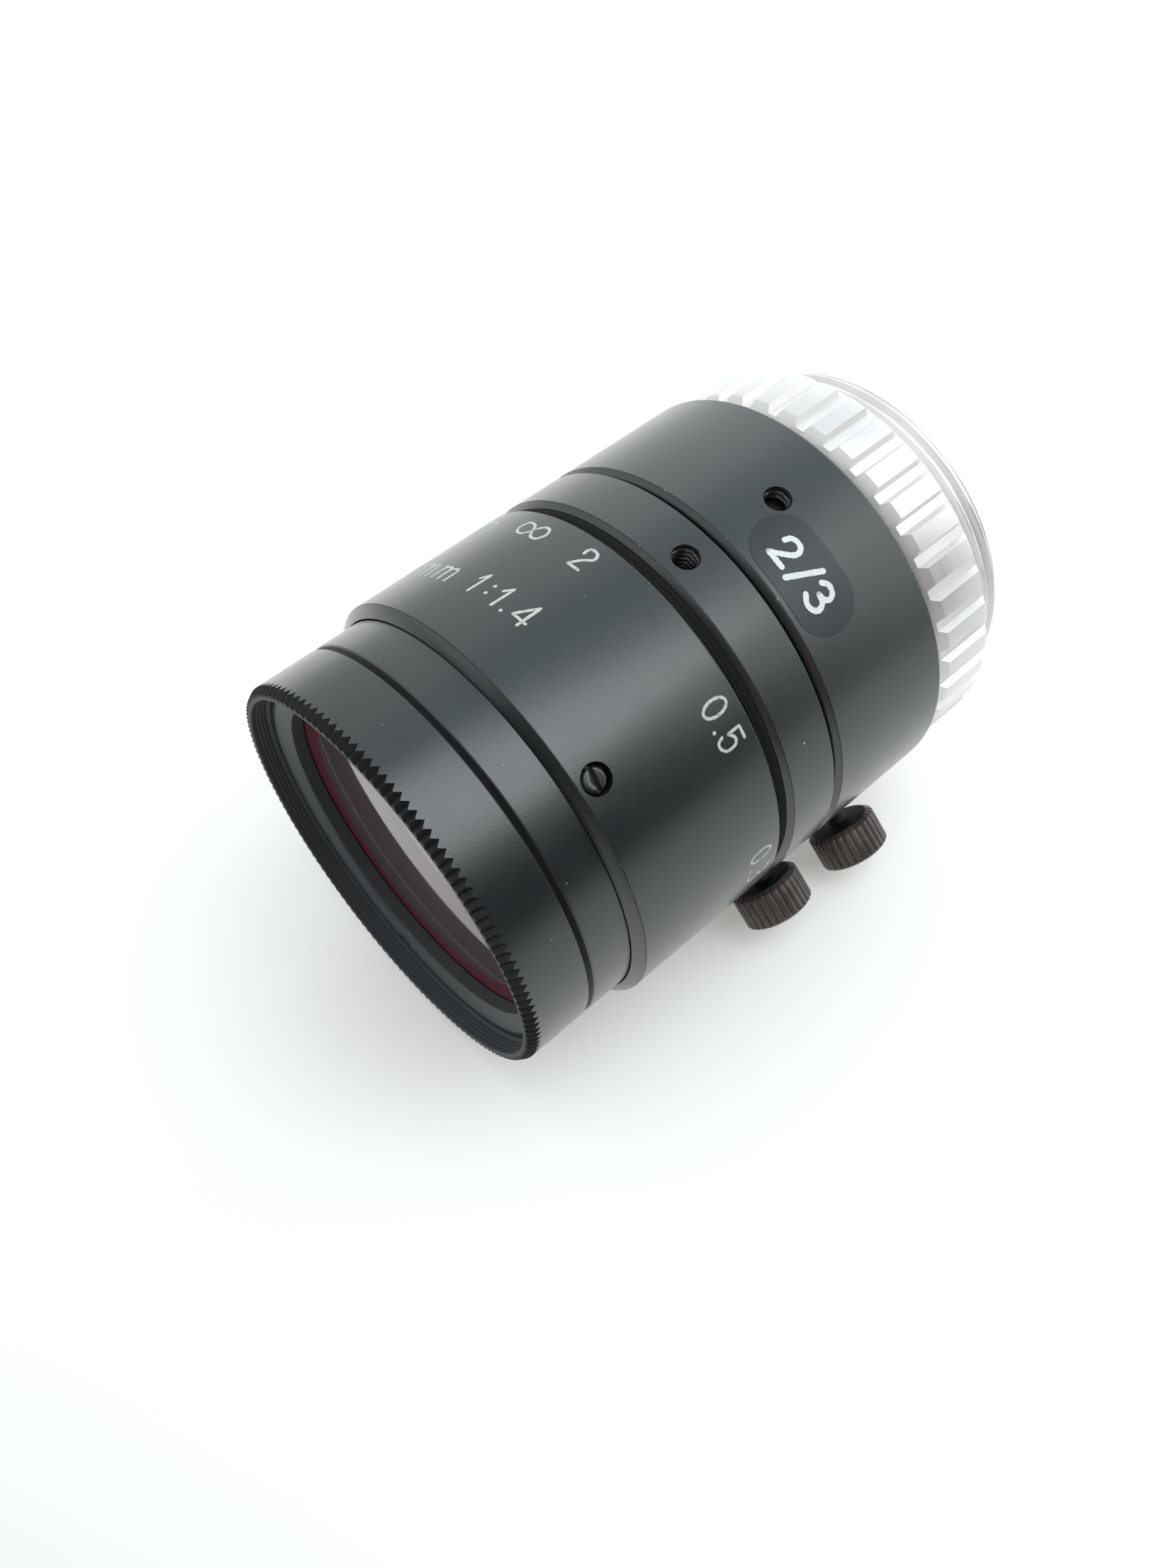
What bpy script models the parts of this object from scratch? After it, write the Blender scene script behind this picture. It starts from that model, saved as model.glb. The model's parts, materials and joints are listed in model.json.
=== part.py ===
"""Compact fixed focal length machine vision lens with a one inch threaded camera mount.

The lens lies on its side: its round barrel and the heads of its two lock screws stand on Z = 0, and its
optical axis runs along +Y from the front glass to the camera mount. Sizes are in millimetres. A station is
the distance behind the front rim, and an azimuth turns about the optical axis from +X towards -Z.
"""

import math

import bmesh
import bpy
from mathutils import Matrix, Vector

MM = 0.001

# Fits between pieces
GAP = 0.3
THREAD_GAP = 0.27

# Turned steps: how many sides the round pieces have
OUTER_SIDES = 48
INNER_SIDES = 28
PIN_SIDES = 12

# Lengths along the axis, from the front rim to the end of the mount thread
FOCUS_RING_FRONT = 7.8
FOCUS_RING_LENGTH = 12.05
FOCUS_MARGIN = 0.95
MIDDLE_RING_LENGTH = 4.0
RING_SPACE = 0.4
IRIS_RING_LENGTH = 9.7
MOUNT_SPACE = 0.6
FLUTED_LENGTH = 4.85
MOUNT_THREAD_LENGTH = 3.75
FOCUS_RING_REAR = FOCUS_RING_FRONT + FOCUS_RING_LENGTH
MIDDLE_RING_FRONT = FOCUS_RING_REAR + FOCUS_MARGIN
MIDDLE_RING_REAR = MIDDLE_RING_FRONT + MIDDLE_RING_LENGTH
IRIS_RING_FRONT = MIDDLE_RING_REAR + RING_SPACE
IRIS_RING_REAR = IRIS_RING_FRONT + IRIS_RING_LENGTH
MOUNT_FRONT = IRIS_RING_REAR + MOUNT_SPACE
FLANGE_STATION = MOUNT_FRONT + FLUTED_LENGTH
LENGTH = FLANGE_STATION + MOUNT_THREAD_LENGTH

# Radii, from the mount thread outwards to the rings and from those inwards to the tube
MOUNT_THREAD_RADIUS = 12.7
FLANGE_WIDTH = 1.65
LAND_STEP = 0.4
RING_LIP = 0.5
RING_WALL = 1.0
SLEEVE_WALL = 1.4
TUBE_WALL = 1.45
LAND_RADIUS = MOUNT_THREAD_RADIUS + FLANGE_WIDTH
RING_RADIUS = LAND_RADIUS + LAND_STEP
BARREL_RADIUS = RING_RADIUS - RING_LIP - GAP
SLEEVE_RADIUS = RING_RADIUS - RING_WALL - GAP
TUBE_RADIUS = SLEEVE_RADIUS - SLEEVE_WALL - GAP
TUBE_BORE = TUBE_RADIUS - TUBE_WALL

# Front rim
TOOTH_COUNT = 140
TOOTH_LENGTH = 0.77
TOOTH_DEPTH = 0.21
TOOTH_CROWN = 0.24
TOOTH_PHASE = -46.5
RIM_WALL = 0.75
RIM_RADIUS = BARREL_RADIUS - TOOTH_CROWN
FILTER_THREAD_RADIUS = BARREL_RADIUS - RIM_WALL
FILTER_THREAD_DEPTH = 1.3
BARREL_GROOVE_STATION = 4.6
BARREL_GROOVE_WIDTH = 0.4
BARREL_GROOVE_DEPTH = 0.3

# Front glass and the ring that holds it
RETAINER_STEP = 0.1
RETAINER_LENGTH = 1.4
RETAINER_DISH = 0.45
RETAINER_LEDGE = 1.3
NOTCH_WIDTH = 1.1
NOTCH_DEPTH = 0.8
FRONT_GLASS_EDGE = 3.7
FRONT_GLASS_HOLLOW = 1.6
RETAINER_SEAT_RADIUS = FILTER_THREAD_RADIUS - RETAINER_STEP
RETAINER_SEAT_REAR = FILTER_THREAD_DEPTH + RETAINER_LENGTH
RETAINER_FRONT = FILTER_THREAD_DEPTH + 0.05
RETAINER_RADIUS = RETAINER_SEAT_RADIUS - GAP
FRONT_GLASS_RADIUS = RETAINER_SEAT_RADIUS - RETAINER_LEDGE
RETAINER_BORE = FRONT_GLASS_RADIUS - 0.3
RETAINER_THROAT = RETAINER_BORE - 0.05
GLASS_FRONT = RETAINER_SEAT_REAR + GAP

# Lens tube, which slides in the main barrel
TUBE_LIP = 1.2
TUBE_LIP_WIDTH = 0.9
STOP_GROOVE_WIDTH = 1.8
STOP_GROOVE_DEPTH = 0.6
SHELL_OVERLAP = 3.4
TUBE_OVERHANG = 0.5
TUBE_LIP_FRONT = GLASS_FRONT + FRONT_GLASS_EDGE + GAP
TUBE_LIP_REAR = TUBE_LIP_FRONT + TUBE_LIP
TUBE_LIP_RADIUS = TUBE_BORE - TUBE_LIP_WIDTH
STOP_GROOVE_STATION = FOCUS_RING_FRONT + 0.9
SHELL_REAR = FOCUS_RING_FRONT + SHELL_OVERLAP
TUBE_REAR = MIDDLE_RING_REAR + TUBE_OVERHANG

# Glass inside the lens tube; the spacer takes up what the rest of the tube leaves
SECOND_GLASS = 3.4
THIRD_GLASS = 2.9
FOURTH_GLASS = 3.1
TUBE_RETAINER = 1.6
TUBE_RETAINER_WALL = 1.6
TUBE_RETAINER_DEPTH = 2.4
SPACER_WALL = 1.0

# Focus: the ring turns on the lens tube, and the tube slides back in step with it
FOCUS_TURN = 142.0
FOCUS_TRAVEL = 0.8
FOCUS_RING_BEVEL = 0.5
RING_BEVEL = 0.25
FOCUS_RING_STEP = SHELL_REAR + GAP
SET_SCREW_COUNT = 3
SET_SCREW_RADIUS = 0.85
SET_SCREW_SLOT_WIDTH = 0.3
SET_SCREW_SLOT_DEPTH = 0.4
SET_SCREW_AZIMUTH = -92.2
SET_SCREW_SLOT_ANGLE = 97.7

# Main barrel
SLEEVE_FRONT = SHELL_REAR + 1.2
IRIS_WALL = 0.9
SPIGOT_STEP = 0.4
SPIGOT_LENGTH = 2.0
IRIS_BORE = SLEEVE_RADIUS - IRIS_WALL
SPIGOT_RADIUS = SLEEVE_RADIUS - SPIGOT_STEP
SPIGOT_FRONT = MOUNT_FRONT - GAP
SPIGOT_REAR = MOUNT_FRONT + SPIGOT_LENGTH
GUIDE_SCREW_STATION = MIDDLE_RING_FRONT + MIDDLE_RING_LENGTH / 2
GUIDE_SCREW_RADIUS = 0.8
GUIDE_SCREW_AZIMUTH = 60.0
KEYWAY_DEPTH = 1.0
KEYWAY_FRONT = MIDDLE_RING_FRONT - GAP

# Lock screws: one in the middle ring, one in the iris ring, with spare holes on either side
LOCK_PLACES = 3
LOCK_HOLE_RADIUS = 1.05
LOCK_SHANK_RADIUS = LOCK_HOLE_RADIUS - THREAD_GAP
LOCK_HEAD_RADIUS = 2.45
LOCK_HEAD_SPACE = 1.75
LOCK_HEAD_LENGTH = 2.75
LOCK_HEAD_TEETH = 28
LOCK_TOOTH_DEPTH = 0.14
LOCK_HEAD_BEVEL = 0.3
LOCK_HEAD_START = RING_RADIUS + LOCK_HEAD_SPACE
FOCUS_LOCK_STATION = MIDDLE_RING_FRONT + 1.7
IRIS_LOCK_STATION = IRIS_RING_FRONT + 4.7

# Iris
BLADE_COUNT = 5
BLADE_THICKNESS = 0.25
BLADE_SPAN = 140.0
BLADE_AZIMUTH = 59.5
BLADE_BAND = 3.95
PIVOT_EAR = 0.85
DRIVE_OFFSET = 1.7
DRIVE_EAR = 0.75
BLADE_PIN_RADIUS = 0.35
BLADE_TURN = 24.5
IRIS_TURN = 54.0
CAGE_PLATE = 0.8
CAGE_WALL = 0.8
CAM_THICKNESS = 1.0
DRIVE_SCREW_RADIUS = 0.6
DRIVE_SCREW_AZIMUTH = 60.0
DRIVE_NOTCH_DEPTH = 1.05
IRIS_RETAINER_THICKNESS = 1.0
IRIS_RETAINER_WIDTH = 1.65
CAGE_FRONT = TUBE_REAR + FOCUS_TRAVEL + 0.5
IRIS_BORE_FRONT = CAGE_FRONT - GAP
CAGE_RADIUS = IRIS_BORE - GAP
PIVOT_RADIUS = CAGE_RADIUS - CAGE_WALL - 1.55
BLADE_OUTER = PIVOT_RADIUS - 1.05
BLADE_INNER = BLADE_OUTER - BLADE_BAND
IRIS_OPENING = BLADE_INNER - 0.4
CAM_BORE = PIVOT_RADIUS - 1.5

# Camera mount
FLUTE_COUNT = 38
FLUTE_DEPTH = 0.42
FLUTE_FLOOR_WIDTH = 0.62
FLUTE_TOP_WIDTH = 1.16
FLUTE_PHASE = -104.7
MOUNT_BEVEL = 0.7
FLANGE_BEVEL = 0.25
FLANGE_SEAT_STEP = 0.06
FLANGE_UNDERCUT = 0.1
THREAD_RELIEF_DEPTH = 0.6
THREAD_RELIEF_WIDTH = 0.65
THREAD_LEAD_IN = 1.0
MOUNT_WALL = 1.5
FLUTE_FLOOR = LAND_RADIUS - FLUTE_DEPTH
THREAD_RELIEF_RADIUS = MOUNT_THREAD_RADIUS - THREAD_RELIEF_DEPTH
MOUNT_BORE = MOUNT_THREAD_RADIUS - MOUNT_WALL

# Rear cell
CELL_WALL = 2.3
CELL_LIP = 1.2
CELL_REAR_STEP = 0.5
REAR_GLASS_1 = 2.9
REAR_GLASS_2 = 2.9
REAR_RETAINER = 1.1
REAR_RETAINER_WALL = 1.2
REAR_RETAINER_DEPTH = 0.3
CELL_BORE = MOUNT_BORE - GAP - CELL_WALL
CELL_LIP_RADIUS = CELL_BORE - CELL_LIP

# Colours, roughness and metallic value of each finish
BLACK_ANODISED = ("black_anodised", (0.035, 0.04, 0.045), 0.42, 0.6)
MATT_BLACK = ("matt_black", (0.02, 0.02, 0.022), 0.7, 0.2)
GREY_ANODISED = ("grey_anodised", (0.16, 0.17, 0.18), 0.4, 0.7)
BRIGHT_ALUMINIUM = ("bright_aluminium", (0.78, 0.79, 0.77), 0.25, 1.0)
DARK_STEEL = ("dark_steel", (0.12, 0.1, 0.095), 0.35, 0.9)
BLADE_STEEL = ("blade_steel", (0.05, 0.05, 0.055), 0.5, 0.8)
COATED_GLASS = ("coated_glass", (0.35, 0.3, 0.34), 0.03, 0.0)


# Places in the lens

def lock_head_end():
    return LOCK_HEAD_START + LOCK_HEAD_LENGTH


def resting_azimuth():
    """How far below the horizontal the lock screws point when their heads and the barrel touch the ground."""
    reach = math.hypot(lock_head_end(), LOCK_HEAD_RADIUS)
    return math.degrees(math.asin(RING_RADIUS / reach) - math.atan(LOCK_HEAD_RADIUS / lock_head_end()))


LOCK_AZIMUTH = resting_azimuth()


def radial(azimuth):
    """Unit vector that points away from the optical axis at this azimuth."""
    angle = math.radians(azimuth)
    return Vector((math.cos(angle), 0, -math.sin(angle)))


def spot(radius, azimuth, station):
    """A point of the lens, in metres, with the optical axis along Y and Y = 0 at half the length."""
    return (radial(azimuth) * radius + Vector((0, station - LENGTH / 2, 0))) * MM


def axis_offset():
    """Sideways place of the optical axis that centres the lens with its lock screws over the origin."""
    angle = math.radians(LOCK_AZIMUTH)
    head_reach = lock_head_end() * math.cos(angle) + LOCK_HEAD_RADIUS * math.sin(angle)
    return (RING_RADIUS - head_reach) / 2


# Materials and objects

def material(finish):
    name, colour, roughness, metallic = finish
    found = bpy.data.materials.get(name)
    if found:
        return found
    made = bpy.data.materials.new(name)
    made.use_nodes = True
    shader = made.node_tree.nodes["Principled BSDF"]
    shader.inputs["Base Color"].default_value = (*colour, 1)
    shader.inputs["Roughness"].default_value = roughness
    shader.inputs["Metallic"].default_value = metallic
    made.diffuse_color = (*colour, 1)
    return made


def finish_object(name, bm, finish, parent):
    """Turns the bmesh into an object under its parent, with outward faces and smooth round stretches."""
    bmesh.ops.recalc_face_normals(bm, faces=bm.faces)
    mesh = bpy.data.meshes.new(name)
    bm.to_mesh(mesh)
    bm.free()
    mesh.shade_smooth()
    mesh.set_sharp_from_angle(angle=math.radians(30))
    mesh.materials.append(material(finish))
    made = bpy.data.objects.new(name, mesh)
    bpy.context.scene.collection.objects.link(made)
    made.parent = parent
    return made


def empty(name, location, parent=None):
    made = bpy.data.objects.new(name, None)
    made.empty_display_size = 0.01
    made.location = location
    made.parent = parent
    bpy.context.scene.collection.objects.link(made)
    return made


def boolean(target, tool, operation="DIFFERENCE"):
    """Cuts or joins with a hidden helper."""
    tool.hide_render = True
    tool.display_type = "WIRE"
    change = target.modifiers.new(tool.name, "BOOLEAN")
    change.operation = operation
    change.object = tool


# Turned pieces

def spin_outline(bm, outline, sides, start=0.0, turn=360.0):
    """Spins a closed outline of (station, radius) points about the optical axis."""
    corners = [bm.verts.new(spot(radius, start, station)) for station, radius in outline]
    edges = [bm.edges.new((a, b)) for a, b in zip(corners, corners[1:] + corners[:1])]
    full = turn == 360.0
    made = bmesh.ops.spin(
        bm,
        geom=corners + edges,
        cent=(0, 0, 0),
        axis=(0, 1, 0),
        angle=math.radians(turn),
        steps=sides,
        use_merge=full,
    )
    if not full:
        last = [part for part in made["geom_last"] if isinstance(part, bmesh.types.BMVert)]
        bm.faces.new(corners)
        bm.faces.new(last)


def turned_ring(name, outline, finish, parent, sides=OUTER_SIDES):
    bm = bmesh.new()
    spin_outline(bm, outline, sides)
    return finish_object(name, bm, finish, parent)


def ring_of(bm, radius, station, sides, start=0.0):
    """One ring of corners, evenly spaced."""
    return [bm.verts.new(spot(radius, start + 360 * n / sides, station)) for n in range(sides)]


def bridge(bm, first, second):
    """Joins two rings of corners, where the finer ring has a whole number of corners for each coarse one."""
    if len(first) < len(second):
        first, second = second, first
    ratio = len(first) // len(second)
    for n in range(len(second)):
        after = (n + 1) % len(second)
        fine = [first[(n * ratio + k) % len(first)] for k in range(ratio + 1)]
        bm.faces.new([second[n], *fine, second[after]])


def glass_surface(radius, edge, bulge, side, steps=3):
    """Points of a spherical lens surface from the axis to its edge; side is -1 for a front and 1 for a rear."""
    if bulge == 0:
        return [(edge, 0.0), (edge, radius)]
    depth = abs(bulge)
    curve = (radius * radius + depth * depth) / (2 * depth)
    heights = [radius * k / steps for k in range(steps + 1)]
    direction = math.copysign(side, side * bulge)
    return [(edge + direction * (depth - curve + math.sqrt(curve * curve - h * h)), h) for h in heights]


def glass_element(name, radius, front, rear, front_bulge, rear_bulge, parent):
    """A lens element between the stations of its two edges; a negative bulge is a hollow face."""
    front_points = glass_surface(radius, front, front_bulge, -1)
    rear_points = glass_surface(radius, rear, rear_bulge, 1)
    bm = bmesh.new()
    rings = []
    for station, height in front_points + rear_points[::-1]:
        if height == 0:
            rings.append([bm.verts.new(spot(0, 0, station))])
        else:
            rings.append(ring_of(bm, height, station, INNER_SIDES))
    for one, other in zip(rings, rings[1:]):
        if len(one) == len(other):
            bridge(bm, one, other)
            continue
        tip, rim = (one[0], other) if len(one) == 1 else (other[0], one)
        for n in range(INNER_SIDES):
            bm.faces.new([tip, rim[n], rim[(n + 1) % INNER_SIDES]])
    return finish_object(name, bm, COATED_GLASS, parent)


# Cutters and small round pieces

def radial_frame(azimuth, station):
    """Matrix whose local Z runs outwards from the optical axis."""
    outward = radial(azimuth)
    along = Vector((0, 1, 0))
    side = along.cross(outward)
    turn = Matrix((along, side, outward)).transposed().to_4x4()
    return Matrix.Translation(spot(0, 0, station)) @ turn


def radial_cylinder(name, radius, inner, outer, azimuth, station, parent, sides=PIN_SIDES):
    """A round bar along a radius of the lens, from one distance to another."""
    bm = bmesh.new()
    bmesh.ops.create_cone(
        bm,
        cap_ends=True,
        segments=sides,
        radius1=radius * MM,
        radius2=radius * MM,
        depth=(outer - inner) * MM,
        matrix=Matrix.Translation((0, 0, (inner + outer) / 2 * MM)),
    )
    made = finish_object(name, bm, DARK_STEEL, parent)
    made.matrix_local = radial_frame(azimuth, station)
    return made


def radial_block(name, width, inner, outer, azimuth, front, rear, parent):
    """A straight block along a radius, as wide across the lens as given, between two stations."""
    bm = bmesh.new()
    size = Matrix.Diagonal(((rear - front) * MM, width * MM, (outer - inner) * MM, 1))
    bmesh.ops.create_cube(bm, size=1, matrix=Matrix.Translation((0, 0, (inner + outer) / 2 * MM)) @ size)
    made = finish_object(name, bm, DARK_STEEL, parent)
    made.matrix_local = radial_frame(azimuth, (front + rear) / 2)
    return made


def arc_block(name, inner, outer, front, rear, start, turn, parent):
    """A stretch of ring between two azimuths."""
    outline = [(front, inner), (front, outer), (rear, outer), (rear, inner)]
    bm = bmesh.new()
    spin_outline(bm, outline, max(4, round(abs(turn) / 5)), start, turn)
    return finish_object(name, bm, DARK_STEEL, parent)


# Front group, which slides

def front_barrel(parent):
    """Shell with the serrated rim, and the tube that carries the glass, in one turned piece."""
    bm = bmesh.new()
    coarse = TOOTH_COUNT // 2
    half_pitch = 360 / TOOTH_COUNT / 2
    start = LOCK_AZIMUTH + TOOTH_PHASE
    ridges = ring_of(bm, RIM_RADIUS, 0, TOOTH_COUNT, start)
    valleys = ring_of(bm, RIM_RADIUS - TOOTH_DEPTH, 0, TOOTH_COUNT, start + half_pitch)
    tips = ring_of(bm, BARREL_RADIUS, TOOTH_LENGTH, TOOTH_COUNT, start + half_pitch)
    for n in range(TOOTH_COUNT):
        after = (n + 1) % TOOTH_COUNT
        bm.faces.new([ridges[n], valleys[n], tips[n]])
        bm.faces.new([valleys[n], ridges[after], tips[n]])
        bm.faces.new([tips[n], ridges[after], tips[after]])
    mouth = ring_of(bm, FILTER_THREAD_RADIUS, 0, coarse, start)
    for n in range(coarse):
        after = (n + 1) % coarse
        edge = [ridges[2 * n], valleys[2 * n], ridges[2 * n + 1], valleys[2 * n + 1]]
        bm.faces.new([mouth[n], *edge, ridges[(2 * n + 2) % TOOTH_COUNT], mouth[after]])
    groove_rear = BARREL_GROOVE_STATION + BARREL_GROOVE_WIDTH
    groove_floor = BARREL_RADIUS - BARREL_GROOVE_DEPTH
    stop_rear = STOP_GROOVE_STATION + STOP_GROOVE_WIDTH
    stop_floor = BARREL_RADIUS - STOP_GROOVE_DEPTH
    outside = [
        (BARREL_GROOVE_STATION, BARREL_RADIUS),
        (BARREL_GROOVE_STATION, groove_floor),
        (groove_rear, groove_floor),
        (groove_rear, BARREL_RADIUS),
        (STOP_GROOVE_STATION, BARREL_RADIUS),
        (STOP_GROOVE_STATION, stop_floor),
        (stop_rear, stop_floor),
        (stop_rear, BARREL_RADIUS),
        (SHELL_REAR, BARREL_RADIUS),
        (SHELL_REAR, TUBE_RADIUS),
        (TUBE_REAR, TUBE_RADIUS),
        (TUBE_REAR, TUBE_BORE),
        (TUBE_LIP_REAR, TUBE_BORE),
        (TUBE_LIP_REAR, TUBE_LIP_RADIUS),
        (TUBE_LIP_FRONT, TUBE_LIP_RADIUS),
        (TUBE_LIP_FRONT, FRONT_GLASS_RADIUS + GAP),
        (RETAINER_SEAT_REAR, FRONT_GLASS_RADIUS + GAP),
        (RETAINER_SEAT_REAR, RETAINER_SEAT_RADIUS),
        (FILTER_THREAD_DEPTH, RETAINER_SEAT_RADIUS),
        (FILTER_THREAD_DEPTH, FILTER_THREAD_RADIUS),
    ]
    last = ring_of(bm, BARREL_RADIUS, TOOTH_LENGTH * 2, coarse, start)
    for n in range(coarse):
        after = (n + 1) % coarse
        bm.faces.new([last[n], tips[2 * n - 1], tips[2 * n], tips[2 * n + 1], last[after]])
    for station, radius in outside:
        ring = ring_of(bm, radius, station, coarse, start)
        bridge(bm, last, ring)
        last = ring
    bridge(bm, last, mouth)
    barrel = finish_object("front_barrel", bm, BLACK_ANODISED, parent)
    keyway_floor = TUBE_RADIUS - KEYWAY_DEPTH
    keyway_width = 2 * (GUIDE_SCREW_RADIUS + GAP)
    azimuth = LOCK_AZIMUTH + GUIDE_SCREW_AZIMUTH
    keyway = radial_block(
        "keyway_cutter", keyway_width, keyway_floor, TUBE_RADIUS + 1, azimuth,
        KEYWAY_FRONT, TUBE_REAR + 1, parent,
    )
    boolean(barrel, keyway)
    return barrel


def front_retaining_ring(parent):
    """Dished ring with a straight bore and two spanner notches at its edge."""
    rear = GLASS_FRONT - GAP
    outline = [
        (RETAINER_FRONT, RETAINER_RADIUS),
        (RETAINER_FRONT + RETAINER_DISH, RETAINER_BORE),
        (rear, RETAINER_THROAT),
        (rear, FRONT_GLASS_RADIUS),
        (RETAINER_SEAT_REAR - GAP, FRONT_GLASS_RADIUS),
        (RETAINER_SEAT_REAR - GAP, RETAINER_RADIUS),
    ]
    ring = turned_ring("front_retaining_ring", outline, GREY_ANODISED, parent, OUTER_SIDES)
    inner = RETAINER_RADIUS - NOTCH_DEPTH
    for side in (0, 1):
        azimuth = LOCK_AZIMUTH + 61.4 + 180 * side
        cutter = radial_block(
            f"spanner_notch_{side + 1}", NOTCH_WIDTH, inner, RETAINER_RADIUS + 1, azimuth,
            RETAINER_FRONT - 1, RETAINER_FRONT + 0.7, parent,
        )
        boolean(ring, cutter)
    return ring


def plain_ring(name, outer, inner, front, rear, finish, parent, sides=INNER_SIDES):
    outline = [(front, inner), (front, outer), (rear, outer), (rear, inner)]
    return turned_ring(name, outline, finish, parent, sides)


def front_group(parent):
    """The glass of the sliding tube, with its spacer and its retaining ring."""
    front_barrel(parent)
    front_retaining_ring(parent)
    rear = TUBE_LIP_FRONT - GAP
    glass_element("front_element", FRONT_GLASS_RADIUS, GLASS_FRONT, rear, 0, -FRONT_GLASS_HOLLOW, parent)
    seat = TUBE_BORE - GAP
    front = TUBE_LIP_REAR + GAP
    glass_element("second_element", seat, front, front + SECOND_GLASS, 1.0, 0, parent)
    ring = TUBE_REAR - TUBE_RETAINER_DEPTH - TUBE_RETAINER
    plain_ring(
        "tube_retaining_ring", seat, seat - TUBE_RETAINER_WALL, ring, ring + TUBE_RETAINER, MATT_BLACK, parent
    )
    fourth = ring - GAP - FOURTH_GLASS
    glass_element("fourth_element", seat, fourth, fourth + FOURTH_GLASS, 0, 0.5, parent)
    third = fourth - GAP - THIRD_GLASS
    glass_element("third_element", seat, third, third + THIRD_GLASS, -0.7, 0, parent)
    front += SECOND_GLASS + GAP
    plain_ring("middle_spacer", seat, seat - SPACER_WALL, front, third - GAP, MATT_BLACK, parent)


# Focus ring

def focus_group(parent):
    """Scale ring and the set screws whose tips run in the groove of the front barrel."""
    bore = BARREL_RADIUS + GAP
    rear_bore = SLEEVE_RADIUS + GAP
    outline = [
        (FOCUS_RING_FRONT, bore),
        (FOCUS_RING_FRONT + FOCUS_RING_BEVEL, RING_RADIUS),
        (FOCUS_RING_REAR - RING_BEVEL, RING_RADIUS),
        (FOCUS_RING_REAR, RING_RADIUS - RING_BEVEL),
        (FOCUS_RING_REAR, rear_bore),
        (FOCUS_RING_STEP, rear_bore),
        (FOCUS_RING_STEP, bore),
    ]
    ring = turned_ring("focus_ring", outline, BLACK_ANODISED, parent)
    station = STOP_GROOVE_STATION + STOP_GROOVE_WIDTH / 2
    tip = BARREL_RADIUS - STOP_GROOVE_DEPTH + GAP
    for n in range(SET_SCREW_COUNT):
        azimuth = LOCK_AZIMUTH + SET_SCREW_AZIMUTH + 360 * n / SET_SCREW_COUNT
        hole = radial_cylinder(
            f"set_screw_hole_{n + 1}", SET_SCREW_RADIUS + THREAD_GAP, bore - 1, RING_RADIUS + 1,
            azimuth, station, parent,
        )
        boolean(ring, hole)
        top = RING_RADIUS - 0.1
        screw = radial_cylinder(f"focus_set_screw_{n + 1}", SET_SCREW_RADIUS, tip, top, azimuth, station, parent)
        slot = radial_block(
            f"set_screw_slot_{n + 1}", SET_SCREW_SLOT_WIDTH, top - SET_SCREW_SLOT_DEPTH, top + 1, azimuth,
            station - 2, station + 2, parent,
        )
        slot.matrix_local @= Matrix.Rotation(math.radians(SET_SCREW_SLOT_ANGLE), 4, "Z")
        boolean(screw, slot)
    return ring


# Main barrel

def lock_holes(target, station, inner, parent):
    """Three radial holes, one for the lock screw and two spare."""
    for n in range(LOCK_PLACES):
        azimuth = LOCK_AZIMUTH + 360 * n / LOCK_PLACES
        hole = radial_cylinder(
            f"{target.name}_hole_{n + 1}", LOCK_HOLE_RADIUS, inner - 1, RING_RADIUS + 1, azimuth, station, parent
        )
        boolean(target, hole)


def cam_front():
    """Station of the cam ring: behind the plate, and one layer for each blade."""
    return CAGE_FRONT + CAGE_PLATE + GAP + BLADE_COUNT * (BLADE_THICKNESS + GAP)


def drive_screw_station():
    return cam_front() + CAM_THICKNESS / 2


def iris_retainer_front():
    return cam_front() + CAM_THICKNESS + GAP


def main_barrel(parent):
    """Fixed barrel: focusing sleeve, middle ring, iris chamber and the spigot of the mount."""
    outline = [
        (SLEEVE_FRONT, TUBE_RADIUS + GAP),
        (SLEEVE_FRONT, SLEEVE_RADIUS),
        (MIDDLE_RING_FRONT, SLEEVE_RADIUS),
        (MIDDLE_RING_FRONT, RING_RADIUS - RING_BEVEL),
        (MIDDLE_RING_FRONT + RING_BEVEL, RING_RADIUS),
        (MIDDLE_RING_REAR, RING_RADIUS),
        (MIDDLE_RING_REAR, SLEEVE_RADIUS),
        (SPIGOT_FRONT, SLEEVE_RADIUS),
        (SPIGOT_FRONT, SPIGOT_RADIUS),
        (SPIGOT_REAR, SPIGOT_RADIUS),
        (SPIGOT_REAR, IRIS_BORE),
        (IRIS_BORE_FRONT, IRIS_BORE),
        (IRIS_BORE_FRONT, TUBE_RADIUS + GAP),
    ]
    barrel = turned_ring("main_barrel", outline, BLACK_ANODISED, parent)
    lock_holes(barrel, FOCUS_LOCK_STATION, TUBE_RADIUS, parent)
    guide_azimuth = LOCK_AZIMUTH + GUIDE_SCREW_AZIMUTH
    guide_hole = radial_cylinder(
        "guide_screw_hole", GUIDE_SCREW_RADIUS + THREAD_GAP, TUBE_RADIUS, RING_RADIUS + 1,
        guide_azimuth, GUIDE_SCREW_STATION, parent,
    )
    boolean(barrel, guide_hole)
    radial_cylinder(
        "focus_guide_screw", GUIDE_SCREW_RADIUS, TUBE_RADIUS - KEYWAY_DEPTH + GAP, RING_RADIUS - 0.2,
        guide_azimuth, GUIDE_SCREW_STATION, parent,
    )
    half_slot = DRIVE_SCREW_RADIUS + GAP
    margin = math.degrees(half_slot / IRIS_BORE)
    start = LOCK_AZIMUTH + DRIVE_SCREW_AZIMUTH + margin
    window = arc_block(
        "drive_window_cutter", IRIS_BORE - 1, SLEEVE_RADIUS + 1, drive_screw_station() - half_slot,
        drive_screw_station() + half_slot, start, -IRIS_TURN - 2 * margin, parent,
    )
    boolean(barrel, window)
    return barrel


# Lock screws

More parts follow.
